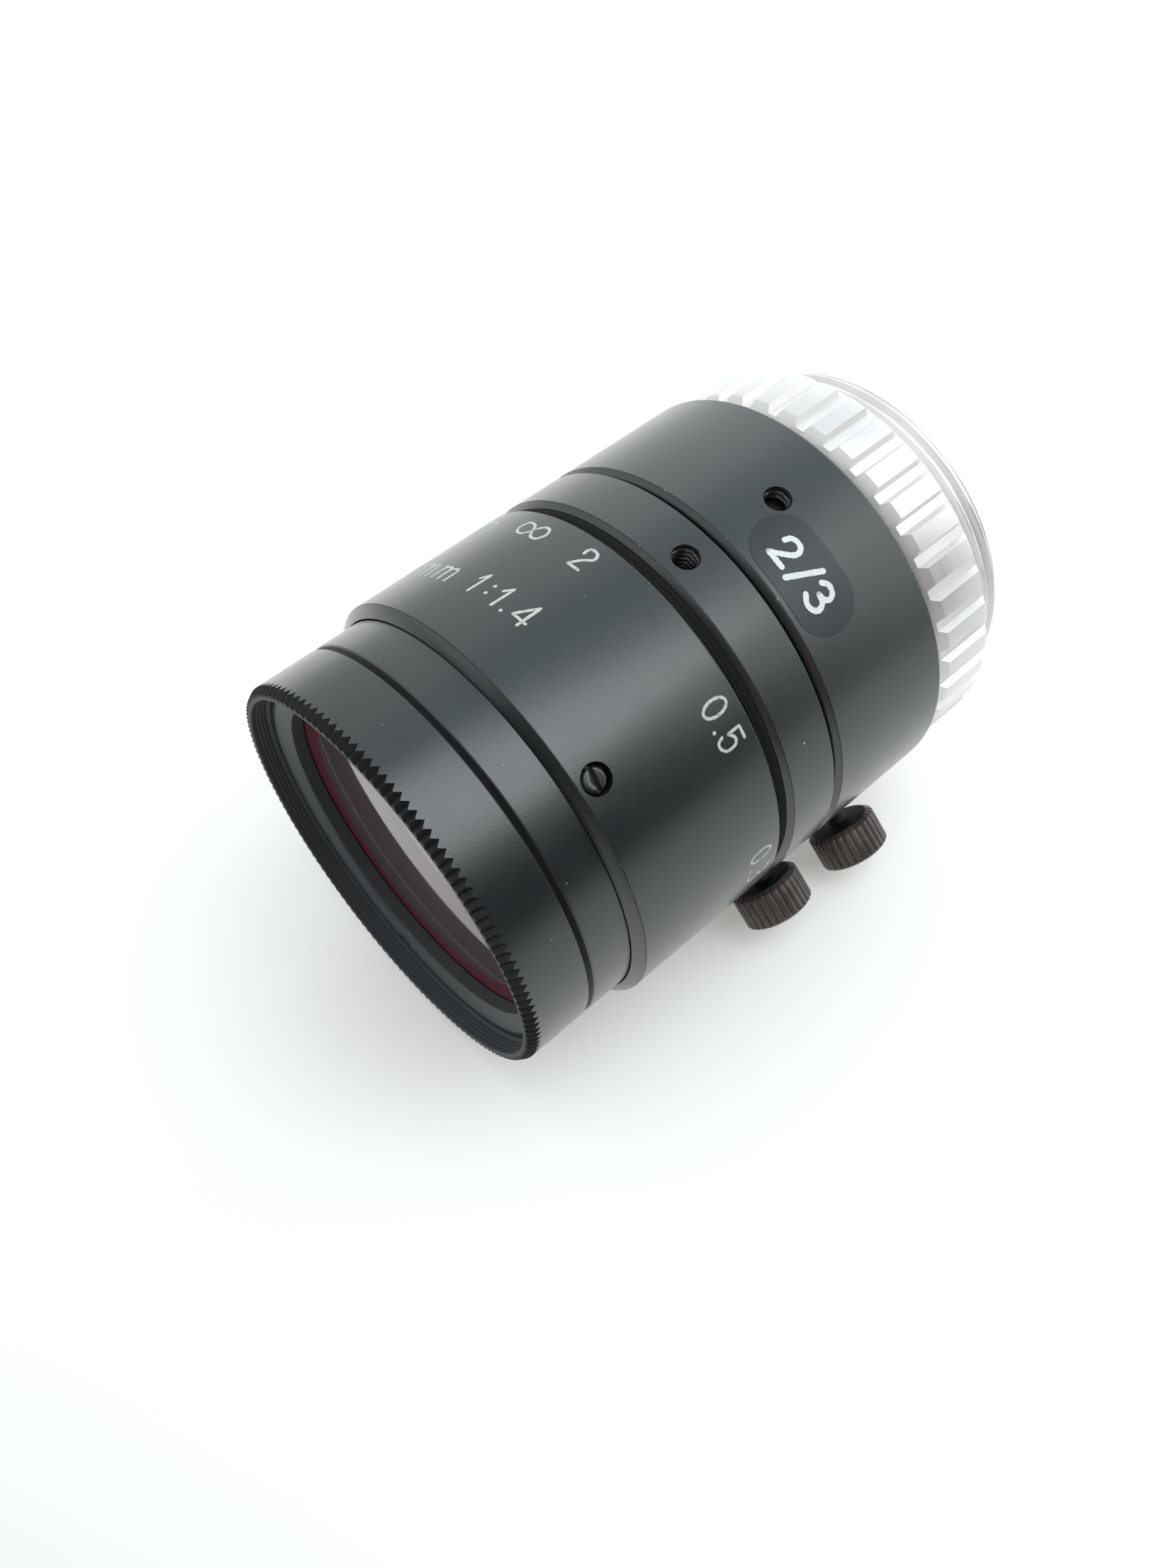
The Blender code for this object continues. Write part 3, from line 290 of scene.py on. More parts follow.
class Nodes:
    """Small helper that adds nodes to one material or world and links them."""

    def __init__(self, owner):
        owner.use_nodes = True
        self.owner = owner
        self.tree = owner.node_tree
        self.shader = self.tree.nodes.get("Principled BSDF")

    def add(self, kind, inputs=None, **settings):
        node = self.tree.nodes.new(kind)
        for key, value in settings.items():
            setattr(node, key, value)
        for key, value in (inputs or {}).items():
            if isinstance(value, bpy.types.NodeSocket):
                self.tree.links.new(value, node.inputs[key])
            else:
                node.inputs[key].default_value = value
        return node

    def set(self, **values):
        for key, value in values.items():
            socket = self.shader.inputs[key.replace("_", " ")]
            if isinstance(value, bpy.types.NodeSocket):
                self.tree.links.new(value, socket)
            else:
                socket.default_value = value

    def place(self, kind="Object"):
        return self.add("ShaderNodeTexCoord").outputs[kind]

    def noise(self, scale, detail=3.0, roughness=0.5):
        values = {"Vector": self.place(), "Scale": scale, "Detail": detail, "Roughness": roughness}
        return self.add("ShaderNodeTexNoise", values).outputs["Fac"]

    def ramp(self, value, stops):
        """Colour ramp from (position, colour or grey) stops."""
        node = self.add("ShaderNodeValToRGB", {"Fac": value})
        elements = node.color_ramp.elements
        while len(elements) < len(stops):
            elements.new(0.5)
        for element, (position, colour) in zip(elements, stops):
            element.position = position
            tone = colour if isinstance(colour, tuple) else (colour, colour, colour)
            element.color = (*tone, 1)
        return node.outputs["Color"]

    def mix(self, share, one, other):
        node = self.add("ShaderNodeMix", data_type="RGBA")
        for socket, value in zip((node.inputs[0], node.inputs[6], node.inputs[7]), (share, one, other)):
            if isinstance(value, bpy.types.NodeSocket):
                self.tree.links.new(value, socket)
            else:
                socket.default_value = value if isinstance(value, float) else (*value, 1)
        return node.outputs[2]

    def bump(self, height, strength, distance):
        values = {"Height": height, "Strength": strength, "Distance": distance * MM}
        return self.add("ShaderNodeBump", values).outputs["Normal"]

    def calc(self, operation, *values):
        return self.add("ShaderNodeMath", dict(enumerate(values)), operation=operation).outputs[0]

    def vector(self, operation, one, other):
        return self.add("ShaderNodeVectorMath", {0: one, 1: other}, operation=operation).outputs[0]

    def spread(self, value, low, high, start=0.0, end=1.0, smooth=False):
        """The value, with the range from low to high stretched over start to end and held there."""
        inputs = {"Value": value, "From Min": low, "From Max": high, "To Min": start, "To Max": end}
        kind = "SMOOTHSTEP" if smooth else "LINEAR"
        return self.add("ShaderNodeMapRange", inputs, interpolation_type=kind).outputs["Result"]


def speckles(nodes, scale, size, rare):
    """1 inside rare dust specks, 0 elsewhere."""
    shift = nodes.add("ShaderNodeTexNoise", {"Vector": nodes.place(), "Scale": scale * 4, "Detail": 1.0})
    bent = nodes.vector("MULTIPLY", shift.outputs["Color"], (0.06 / scale,) * 3)
    moved = nodes.vector("ADD", nodes.place(), bent)
    cells = nodes.add("ShaderNodeTexVoronoi", {"Vector": moved, "Scale": scale}, feature="F1")
    chosen = nodes.add("ShaderNodeSeparateColor", {"Color": cells.outputs["Color"]})
    near = nodes.calc("LESS_THAN", cells.outputs["Distance"], size)
    picked = nodes.calc("GREATER_THAN", chosen.outputs["Red"], 1 - rare)
    return nodes.calc("MULTIPLY", near, picked)


def shades(tone, dark, light=1.0):
    """Stops of a colour ramp between a darker and a lighter form of a tone."""
    return [(0.3, tuple(v * dark for v in tone)), (0.7, tuple(v * light for v in tone))]


def satin_black(name, tone, roughness, dusty=True, specular=0.5):
    """Black anodised aluminium with a fine blasted grain, uneven sheen and a little dust."""
    nodes = Nodes(bpy.data.materials.new(name))
    cloud = nodes.noise(300, 5, 0.6)
    colour = nodes.ramp(cloud, shades(tone, 0.95, 1.05))
    if dusty:
        colour = nodes.mix(speckles(nodes, 900, 0.045, 0.16), colour, (0.26, 0.27, 0.27))
        colour = nodes.mix(speckles(nodes, 380, 0.030, 0.16), colour, (0.45, 0.46, 0.45))
    rough = nodes.ramp(nodes.noise(900, 3), [(0.3, roughness - 0.012), (0.7, roughness + 0.012)])
    grain = nodes.noise(7000, 3, 0.6)
    nodes.set(Base_Color=colour, Roughness=rough, Metallic=0.0, Normal=nodes.bump(grain, 0.3, 0.02))
    nodes.shader.inputs["Specular IOR Level"].default_value = specular
    return nodes.owner


def worn_edge(name, tone):
    """A thin edge where the black has rubbed off in places."""
    nodes = Nodes(bpy.data.materials.new(name))
    rub = nodes.noise(6500, 4, 0.7)
    colour = nodes.ramp(rub, [(0.62, tuple(v * 1.2 for v in tone)), (0.72, (0.5, 0.5, 0.48))])
    rough = nodes.ramp(rub, [(0.5, 0.38), (0.7, 0.28)])
    nodes.set(Base_Color=colour, Roughness=rough, Normal=nodes.bump(rub, 0.3, 0.02))
    return nodes.owner


def bright_aluminium(name, tone, roughness):
    """Turned and clear anodised aluminium, with fine tool marks round the axis."""
    nodes = Nodes(bpy.data.materials.new(name))
    split = nodes.add("ShaderNodeMapping", {"Vector": nodes.place(), "Scale": (60, 9000, 60)})
    lines = nodes.add("ShaderNodeTexNoise", {"Vector": split.outputs[0], "Scale": 1.0, "Detail": 2.0})
    cloud = nodes.noise(260, 3)
    colour = nodes.ramp(cloud, shades(tone, 0.93))
    colour = nodes.mix(speckles(nodes, 600, 0.05, 0.06), colour, (0.25, 0.25, 0.24))
    rough = nodes.ramp(lines.outputs["Fac"], [(0.3, roughness - 0.05), (0.7, roughness + 0.08)])
    nodes.set(Base_Color=colour, Roughness=rough, Metallic=0.68)
    nodes.set(Normal=nodes.bump(lines.outputs["Fac"], 0.12, 0.01))
    return nodes.owner


def paint(name, tone, worn_tone=0.45):
    """White paint or print, a little worn."""
    nodes = Nodes(bpy.data.materials.new(name))
    worn = nodes.noise(5200, 3, 0.6)
    colour = nodes.ramp(worn, [(0.30, tuple(v * worn_tone for v in tone)), (0.46, tone), (1.0, tone)])
    nodes.set(Base_Color=colour, Roughness=0.7, Normal=nodes.bump(worn, 0.4, 0.02))
    return nodes.owner


def screw_steel(name):
    """Blackened steel with a brown cast and an uneven tone."""
    nodes = Nodes(bpy.data.materials.new(name))
    cloud = nodes.noise(700, 4)
    colour = nodes.ramp(cloud, [(0.3, (0.062, 0.050, 0.045)), (0.7, (0.135, 0.110, 0.098))])
    rough = nodes.ramp(nodes.noise(1500, 2), [(0.3, 0.34), (0.7, 0.5)])
    grain = nodes.noise(4000)
    nodes.set(Base_Color=colour, Roughness=rough, Metallic=0.3, Normal=nodes.bump(grain, 0.3, 0.02))
    return nodes.owner


def glass_front(name):
    """Coated front glass: clear with a pink haze, and a faint warm cast in its reflection."""
    nodes = Nodes(bpy.data.materials.new(name))
    smear = nodes.ramp(nodes.noise(140, 3), [(0.3, 0.015), (0.7, 0.05)])
    nodes.set(Base_Color=(0.85, 0.62, 0.68, 1), Roughness=smear, Metallic=0.0)
    nodes.shader.inputs["Transmission Weight"].default_value = 0.9
    nodes.shader.inputs["IOR"].default_value = 1.56
    nodes.shader.inputs["Specular IOR Level"].default_value = 0.8
    nodes.shader.inputs["Specular Tint"].default_value = (1.0, 0.92, 0.9, 1)
    return nodes.owner


def ground_edge_and_painted_reflection(name, tone, roughness):
    """Even tone of the ground edge of a lens element, or of the rim of its front face, where it is a
    painted magenta reflection.
    """
    nodes = Nodes(bpy.data.materials.new(name))
    cloud = nodes.noise(90, 2)
    colour = nodes.ramp(cloud, shades(tone, 0.8))
    rough = nodes.ramp(nodes.noise(240, 2), [(0.3, roughness - 0.03), (0.7, roughness + 0.03)])
    nodes.set(Base_Color=colour, Roughness=rough)
    return nodes.owner


def glass_inner(name, dark, tint):
    """An inner glass face with its magenta coating over the dark of the barrel."""
    nodes = Nodes(bpy.data.materials.new(name))
    smear = nodes.ramp(nodes.noise(200, 2), [(0.3, 0.03), (0.7, 0.07)])
    nodes.set(Base_Color=(*dark, 1), Roughness=smear, Metallic=0.0)
    nodes.shader.inputs["Specular IOR Level"].default_value = 0.9
    nodes.shader.inputs["Specular Tint"].default_value = (*tint, 1)
    return nodes.owner


BLACK_TONE = (0.0130, 0.0155, 0.0162)
BLACK = satin_black("black_anodised", BLACK_TONE, 0.26, specular=0.95)
MATT = satin_black("matt_black", (0.007, 0.007, 0.0075), 0.6, dusty=False, specular=0.3)
GREY = satin_black("grey_anodised", (0.022, 0.029, 0.034), 0.42, dusty=False, specular=0.6)
STICKER = satin_black("sticker_black", (0.0105, 0.0125, 0.018), 0.3, specular=0.66)
EDGE = worn_edge("worn_edge", BLACK_TONE)
# Painted light: a lighter tone for the groove behind the middle ring, which stands in for light that the
# recess does not get.
GROOVE = satin_black("groove_painted_light", (0.070, 0.074, 0.072), 0.6, dusty=False)
# Painted shade: a darker, duller black for the tooth walls of the rim and the fine groove of the front
# barrel.
CROWN = satin_black("crown_painted_shade", (0.0105, 0.0115, 0.0125), 0.5, dusty=False, specular=0.3)
BORE = satin_black("bore_black", (0.058, 0.063, 0.066), 0.6, dusty=False, specular=0.3)
BRIGHT = bright_aluminium("bright_aluminium", (0.885, 0.845, 0.825), 0.42)
PAINT = paint("white_paint", (0.60, 0.60, 0.57))
PRINT = paint("white_print", (0.84, 0.85, 0.84), 0.8)
STEEL = screw_steel("blackened_steel")
GLASS = glass_front("coated_glass")
# Painted reflection: an even magenta tone for the rim of the front glass.
RIM_REFLECTION = ground_edge_and_painted_reflection("magenta_painted_reflection", (0.15, 0.024, 0.042), 0.12)
GROUND = ground_edge_and_painted_reflection("ground_edge", (0.075, 0.047, 0.052), 0.5)
MAGENTA = glass_inner("dark_glass", (0.022, 0.012, 0.015), (0.75, 0.06, 0.16))
BLADE = satin_black("blade_steel", (0.03, 0.03, 0.032), 0.4, dusty=False)


# Front barrel

def crown_barrel():
    """Shell with the serrated rim, the filter thread and the tube that carries the glass."""
    teeth = SIDES // 2
    start = math.radians(LOCK_AZIMUTH + TOOTH_PHASE)
    half = TURN / SIDES
    ridge, valley = BARREL_RADIUS - 0.26, BARREL_RADIUS - 0.58
    apex, land = 0.42, 0.82
    bm = bmesh.new()

    def ring(station, radius):
        return [bm.verts.new(around(radius, start + half * n, station)) for n in range(SIDES)]

    def skirt(one, other):
        for n in range(SIDES):
            after = (n + 1) % SIDES
            bm.faces.new((one[n], one[after], other[after], other[n]))

    base = ring(0, valley)
    tops = [bm.verts.new(around(ridge, start + 2 * half * n, 0)) for n in range(teeth)]
    apexes = [bm.verts.new(around(BARREL_RADIUS, start + 2 * half * n, apex)) for n in range(teeth)]
    tips = [bm.verts.new(around(BARREL_RADIUS, start + half * (2 * n + 1), land)) for n in range(teeth)]
    behind = ring(land + 0.1, BARREL_RADIUS)
    for n in range(teeth):
        after = (n + 1) % teeth
        bm.faces.new((base[2 * n - 1], tops[n], base[2 * n]))
        bm.faces.new((base[2 * n], tops[n], base[2 * n + 1]))
        bm.faces.new((tops[n], base[2 * n + 1], tips[n], apexes[n]))
        bm.faces.new((base[2 * n + 1], tops[after], apexes[after], tips[n]))
        bm.faces.new((tips[n - 1], apexes[n], tips[n]))
        bm.faces.new((tips[n - 1], tips[n], behind[2 * n + 1], behind[2 * n], behind[2 * n - 1]))
    crests = [bm.edges.get((tops[n], apexes[n])) for n in range(teeth)]

    groove, groove_floor = 4.47, BARREL_RADIUS - 0.34
    relief_front, relief_rear, relief = 8.7, 10.5, BARREL_RADIUS - 0.6
    shoulder, tube_end, tube_front = 11.2, 25.3, 8.2
    stop, stop_radius, seat_radius, ring_seat = 7.0, 9.4, 12.1, 2.7
    thread_end, wall = 1.32, FILTER_RADIUS - 0.1
    outside = [
        (groove, BARREL_RADIUS), (groove + 0.01, groove_floor), (groove + 0.15, groove_floor),
        (groove + 0.27, groove_floor + 0.08), (groove + 0.37, groove_floor + 0.18),
        (groove + 0.45, groove_floor + 0.27), (groove + 0.5, groove_floor + 0.32),
        (groove + 0.55, BARREL_RADIUS), (relief_front, BARREL_RADIUS), (relief_front, relief),
        (relief_rear, relief), (relief_rear, BARREL_RADIUS), (shoulder, BARREL_RADIUS),
        (shoulder, TUBE_RADIUS), (tube_end, TUBE_RADIUS), (tube_end, TUBE_BORE),
        (tube_front, TUBE_BORE), (tube_front, stop_radius), (stop, stop_radius), (stop, seat_radius),
        (ring_seat, seat_radius), (ring_seat, wall), (thread_end, wall),
    ]
    pitch, depth, deepest = 0.25, 0.03, 1.25
    for n in range(4):
        trough = deepest - pitch * n
        outside += [(trough, FILTER_RADIUS), (trough - pitch / 2, FILTER_RADIUS + depth)]
    outside += [(0.25, FILTER_RADIUS), (0.05, FILTER_RADIUS), (0.0, FILTER_RADIUS + 0.05)]
    profile = softened([(land + 0.1, BARREL_RADIUS), *outside], 0.03, closed=False)[1:]
    last = behind
    for station, radius in profile:
        new = ring(station, radius)
        skirt(last, new)
        last = new
    skirt(last, base)
    bmesh.ops.bevel(bm, geom=crests, offset=0.022 * MM, segments=1, affect="EDGES")
    barrel = finished("turned_front_barrel", bm, LENS, BLACK, 25)
    low, high = FILTER_RADIUS + 0.06, BARREL_RADIUS - 0.06
    shade(barrel, BORE, lambda station, radius: station < tube_front - 0.2 and radius < low)
    # Painted shade on the tooth walls of the rim and in the fine groove, by the darker, duller black.
    shade(barrel, CROWN, lambda station, radius: (
        low < radius < high and (station < land - 0.1 or abs(station - groove) < 1)
    ))
    return barrel


dress(crown_barrel(), "lens_tube", "barrel_black", "front_barrel")


# Front retaining ring and glass

def retaining_ring():
    """Dished ring with two spanner notches in its edge."""
    front, rear, outer, inner = 1.36, 2.7, 12.85, 11.5
    outline = [
        (front, outer), (front, outer - 0.25), (front + 0.42, inner + 0.04), (front + 0.48, inner),
        (rear - 0.02, inner - 0.04), (rear, inner + 0.3), (rear - 0.3, inner + 0.3), (rear - 0.3, outer),
    ]
    ring = turned("dished_retaining_ring", outline, GREY)
    shade(ring, BORE, lambda station, radius: station > front + 0.45)
    notch, notch_radius, notch_station = (1.7, 0.7, 1.2), 13.0, 1.2
    azimuths = (LOCK_AZIMUTH + NOTCH_PHASE, LOCK_AZIMUTH + NOTCH_PHASE + 180)
    places = [radial_frame(azimuth, notch_station) for azimuth in azimuths]
    cut(ring, [block_cutter(notch, notch_radius, place) for place in places])
    return ring


def glass_points(radius, edge, bulge, side, steps=16):
    """Points of a spherical face from the axis to its edge.

    The side is -1 for a front face and 1 for a rear face, and a negative bulge is a hollow face.
    """
    if bulge == 0:
        return [(edge, 0.001), (edge, radius)]
    depth = abs(bulge)
    curve = (radius * radius + depth * depth) / (2 * depth)
    direction = side if bulge > 0 else -side
    heights = [max(0.001, radius * k / steps) for k in range(steps + 1)]
    return [(edge + direction * (depth - curve + math.sqrt(curve * curve - h * h)), h) for h in heights]


def element(name, radius, front, rear, front_bulge, rear_bulge, material, rim=0.0):
    """Lens element with a ground edge, and a rim of its front face where the magenta reflection of its
    coating is painted as an even tone.
    """
    front_points = glass_points(radius, front, front_bulge, -1)
    rear_points = glass_points(radius, rear, rear_bulge, 1)
    if rim:
        front_points.insert(1, (front, radius - rim))
    made = turned(name, front_points + rear_points[::-1], material, 128, closed=False)
    shade(made, GROUND, lambda station, out: out > radius - 0.01)
    # Painted reflection: the rim of the front face gets the even magenta tone.
    shade(made, RIM_REFLECTION, lambda station, out: station < front + 0.01 and out > radius - rim)
    return made


dress(retaining_ring(), "lens_tube", "ring_grey", "front_retaining_ring")
front_glass = element("polished_front_element", 11.8, 2.74, 6.7, 0, -1.6, GLASS, rim=1.9)
dress(front_glass, "lens_tube", "glass", "front_element")
second_glass = element("polished_second_element", 10.0, 8.5, 11.9, 1.0, 0, MAGENTA)
dress(second_glass, "lens_tube", "glass", "second_element")


# Focus ring, middle ring and iris ring

def set_screw_azimuth(number):
    return LOCK_AZIMUTH + SET_SCREW_PHASE + 360 / SET_SCREW_COUNT * number


def focus_ring():
    """Ring with a long bevel in front and the holes of its set screws."""
    bore, rear_bore = BARREL_RADIUS + 0.07, SLEEVE_RADIUS + GAP
    outline = [
        (FOCUS_FRONT, bore), (FOCUS_FRONT + 0.55, RING_RADIUS), (FOCUS_END - 0.15, RING_RADIUS),
        (FOCUS_END, RING_RADIUS - 0.15), (FOCUS_END, rear_bore), (11.5, rear_bore), (11.5, bore),
    ]
    ring = turned("turned_focus_ring", softened(outline), BLACK, worn=[outline[1], outline[2]])
    hole_radius = 0.97
    cut(ring, [
        cylinder_cutter(hole_radius, bore - 1, RING_RADIUS + 1, set_screw_azimuth(n), SET_SCREW_STATION)
        for n in range(SET_SCREW_COUNT)
    ])
    return ring


def set_screw(number):
    """Slotted set screw, a little below the surface of the focus ring."""
    bottom, top, radius = 13.65, 14.55, 0.8
    outline = [
        (bottom, 0.001), (bottom, radius), (top - 0.15, radius), (top, radius - 0.16), (top, 0.001),
    ]
    place = radial_frame(set_screw_azimuth(number), SET_SCREW_STATION)
    place = place @ Matrix.Rotation(math.radians(SLOT_TURN), 4, "Z")
    name = f"slotted_set_screw_{number + 1}"
    screw = turned(name, softened(outline, 0.04, False), BLACK, 48, place, closed=False)
    cut(screw, [block_cutter((3, 0.3, 0.8), top + 0.05, place)])
    return screw


def tapped_thread(name, azimuth, station, inner):
    """Thread in the wall of a tapped hole."""
    pitch, rows = 0.4, 8
    top = RING_RADIUS - 0.12
    count = round((top - inner) / pitch * rows)
    outline = [(inner + (top - inner) * k / count, HOLE_RADIUS) for k in range(count + 1)]
    outline += [(top, HOLE_RADIUS + 0.03), (inner, HOLE_RADIUS + 0.03)]

    def helix(along, radius, angle):
        if radius > HOLE_RADIUS:
            return along, radius
        wave = (along / pitch - angle / TURN) % 1
        fade = min(1, max(0, (top - along) / 0.25))
        return along, HOLE_RADIUS - 0.01 - 0.15 * fade * min(1, max(0, 1.35 - abs(wave - 0.5) * 3.4))

    return turned(name, outline, BLACK, 60, radial_frame(azimuth, station), helix)


def holes(target, station, inner, turn=0.0):
    """Cuts the hole of the lock screw and the two spare ones, which may be turned a little further."""
    cut(target, [
        cylinder_cutter(HOLE_RADIUS, inner, RING_RADIUS + 1, azimuth, station)
        for azimuth in (LOCK_AZIMUTH, LOCK_AZIMUTH + 120 + turn, LOCK_AZIMUTH + 240 + turn)
    ])


def main_barrel():
    """Fixed barrel: the middle ring and the sleeves that the other two rings turn on."""
    front, rear, step = 12.4, 37.5, 35.2
    bore, wide_bore, bore_step = TUBE_RADIUS + GAP, SLEEVE_RADIUS - 0.9, 26.3
    groove_floor, land_end = RING_RADIUS - 0.45, IRIS_FACE - 0.08
    outline = [
        (front, bore), (front, SLEEVE_RADIUS), (MIDDLE_FRONT, SLEEVE_RADIUS),
        (MIDDLE_FRONT, RING_RADIUS - FRONT_BEVEL), (MIDDLE_FRONT + FRONT_BEVEL, RING_RADIUS),
        (MIDDLE_REAR, RING_RADIUS), (MIDDLE_REAR, groove_floor), (land_end, groove_floor),
        (land_end, SLEEVE_RADIUS), (step, SLEEVE_RADIUS), (step, SLEEVE_RADIUS - 0.4),
        (rear, SLEEVE_RADIUS - 0.4), (rear, wide_bore), (bore_step, wide_bore), (bore_step, bore),
    ]
    barrel = turned("turned_main_barrel", softened(outline), BLACK, worn=[outline[4]])
    holes(barrel, FOCUS_LOCK_STATION, TUBE_RADIUS)
    # Painted light in the groove behind the middle ring and under the rear of the focus ring, by its
    # lighter tone.
    shade(barrel, GROOVE, lambda station, radius: (
        SLEEVE_RADIUS - 0.1 < radius < groove_floor + 0.05 and FOCUS_REAR - 2 < station < IRIS_FACE + 0.5
    ))
    return barrel


def iris_ring():
    """Plain ring with bevelled edges and the holes of its lock screw."""
    bore = SLEEVE_RADIUS + GAP
    outline = [
        (IRIS_FACE, bore), (IRIS_FACE, RING_RADIUS - FRONT_BEVEL),
        (IRIS_FACE + FRONT_BEVEL, RING_RADIUS),
        (IRIS_REAR - RING_BEVEL, RING_RADIUS), (IRIS_REAR, RING_RADIUS - RING_BEVEL), (IRIS_REAR, bore),
    ]
    ring = turned("turned_iris_ring", softened(outline), BLACK, worn=[outline[2]])
    holes(ring, IRIS_LOCK_STATION, bore - 1, SPARE_TURN)
    return ring


dress(focus_ring(), "focus_ring", "barrel_black", "focus_ring")
dress(main_barrel(), "main_body", "barrel_black", "main_barrel")
dress(iris_ring(), "iris_ring", "barrel_black", "iris_ring")
for n in range(SET_SCREW_COUNT):
    dress(set_screw(n), "focus_ring", "screw_dark", f"focus_set_screw_{n + 1}")
for n in (1, 2):
    azimuth = LOCK_AZIMUTH + 120 * n
    middle = tapped_thread(f"middle_thread_{n}", azimuth, FOCUS_LOCK_STATION, 12.2)
    dress(middle, "main_body", "barrel_black")
    iris = tapped_thread(f"iris_thread_{n}", azimuth + SPARE_TURN, IRIS_LOCK_STATION, 13.75)
    dress(iris, "iris_ring", "barrel_black")


# Thumbscrews

def lock_screw(name, tip, station, start):
    """Knurled thumbscrew with rounded ridges."""
    end, radius, shank, teeth, depth = start + 2.75, 2.55, 0.66, 28, 0.13
    outline = [
        (tip, 0.001), (tip, shank - 0.16), (tip + 0.2, shank), (start, shank), (start, radius - 0.45),
        (start + 0.3, radius), (end - 0.18, radius), (end, radius - 0.3), (end - 0.02, 1.2),
        (end - 0.1, 0.6), (end - 0.1, 0.001),
    ]

    def knurl(along, out, angle):
        if out < radius - 0.1:
            return along, out
        wave = abs(math.sin(angle * teeth / 2))
        return along, out - depth * (1 - wave) ** 1.5

    place = radial_frame(LOCK_AZIMUTH, station)
    screw = turned(name, softened(outline, 0.06, False), STEEL, teeth * 10, place, knurl, False)
    # Painted shade: the shank and the underside of the head get the matt black, darker than the steel.
    shade(screw, MATT, lambda along, out: along < start + 0.1 and out < radius - 0.3, place)
    return screw


LOCK_SCREWS = (
    ("focus", 12.05, FOCUS_LOCK_STATION - 0.15, 15.95),
    ("iris", 13.75, IRIS_LOCK_STATION + 0.15, 16.42),
)
for ring_name, tip, station, start in LOCK_SCREWS:
    screw = lock_screw(f"knurled_{ring_name}_screw", tip, station, start)
    dress(screw, f"{ring_name}_lock_screw", "screw_dark", f"{ring_name}_lock_screw")


# Camera mount

FLANGE = MOUNT_FRONT + 4.85
THREAD_FRONT = MOUNT_REAR - 3.1
THREAD_BORE = 11.2
THREAD_PITCH = 25.4 / 32


def fluted_mount():
    """Fluted ring with its flange; the flutes are straight grooves with slanted sides."""
    flutes, per_flute, depth = 38, 16, 0.42
    flute_floor = LAND_RADIUS - depth
    floor_half, top_half = 0.31 / flute_floor, 0.58 / LAND_RADIUS
    phase = math.radians(LOCK_AZIMUTH + FLUTE_PHASE)
    pitch = TURN / flutes

    def offsets():
        """Angles of the corners of one flute and of the land behind it."""
        yield from (-top_half, -floor_half, 0.0, floor_half, top_half)
        rest = per_flute - 5
        for n in range(rest):
            yield top_half + (pitch - 2 * top_half) * (n + 1) / (rest + 1)

    angles = [phase + pitch * n + offset for n in range(flutes) for offset in offsets()]

    def in_flute(index):
        return index % per_flute in (1, 2, 3)

    bm = bmesh.new()

    def ring(station, radius):
        corners = []
        for index, angle in enumerate(angles):
            out, at = radius, station
            if in_flute(index) and radius > flute_floor:
                out = flute_floor
                if station < MOUNT_FRONT + 0.7:
                    at = station - (radius - flute_floor)
            corners.append(bm.verts.new(around(out, angle, at)))
        return corners

    seat, bore, wide_bore, bore_step = THREAD_RADIUS + 0.06, 12.1, 13.35, 37.8
    profile = [
        (MOUNT_FRONT, LAND_RADIUS - 0.7), (MOUNT_FRONT + 0.67, LAND_RADIUS - 0.03),
        (MOUNT_FRONT + 0.73, LAND_RADIUS), (FLANGE - 0.43, LAND_RADIUS),
        (FLANGE - 0.38, LAND_RADIUS - 0.03), (FLANGE - 0.02, LAND_RADIUS - 0.4),
        (FLANGE, flute_floor - 0.02), (FLANGE, seat), (FLANGE - 0.1, seat), (FLANGE - 0.1, bore),
        (THREAD_FRONT, bore), (THREAD_FRONT, THREAD_BORE), (bore_step, THREAD_BORE),
        (bore_step, wide_bore), (MOUNT_FRONT, wide_bore),
    ]
    rings = [ring(station, radius) for station, radius in profile]
    for one, other in zip(rings, rings[1:] + rings[:1]):
        for n in range(len(angles)):
            after = (n + 1) % len(angles)
            bm.faces.new((one[n], one[after], other[after], other[n]))
    return finished("fluted_mount", bm, LENS, BRIGHT, 30)


def mount_thread():
    """The one inch thread behind the flange as a helical surface."""
    rows = 62
    first, last = THREAD_FRONT, MOUNT_REAR
    outline = [(first + (last - first) * k / rows, THREAD_RADIUS) for k in range(rows + 1)]
    outline += [(last, THREAD_BORE), (first, THREAD_BORE)]
    root = THREAD_RADIUS - 0.36

    def thread(station, radius, angle):
        if radius < THREAD_RADIUS:
            return station, radius
        wave = ((station - first) / THREAD_PITCH - angle / TURN) % 1
        rise = min(1, max(0, 1.3 - abs(wave - 0.5) * 3.2))
        lead = THREAD_RADIUS - max(0, station - (last - 1.0))
        entry = root + (station - first) * 2
        return station, min(root + (THREAD_RADIUS - root) * rise, max(lead, 11.7), max(entry, 12.15))

    return turned("mount_thread", outline, BRIGHT, 200, shape=thread)


dress(fluted_mount(), "main_body", "mount_bright", "mount_ring")
dress(mount_thread(), "main_body", "mount_bright")


# Engraving and print

def smooth_path(points, step=0.06):
    """Points along a smooth curve through the given ones."""
    ends = [points[0], *points, points[-1]]
    path = []
    for n in range(1, len(ends) - 2):
        p0, p1, p2, p3 = (Vector(p) for p in ends[n - 1:n + 3])
        count = max(2, round((p2 - p1).length / step))
        for k in range(count):
            t = k / count
            a = 2 * p1 + (p2 - p0) * t
            b = (2 * p0 - 5 * p1 + 4 * p2 - p3) * t * t
            c = (3 * p1 - p0 - 3 * p2 + p3) * t * t * t
            path.append(tuple((a + b + c) / 2))
    path.append(points[-1])
    return path


def dense(points, step=0.08):
    """Points along straight lines through the given ones."""
    path = []
    for one, other in zip(points, points[1:]):
        one, other = Vector(one), Vector(other)
        count = max(1, round((other - one).length / step))
        path += [tuple(one.lerp(other, k / count)) for k in range(count)]
    return path + [points[-1]]


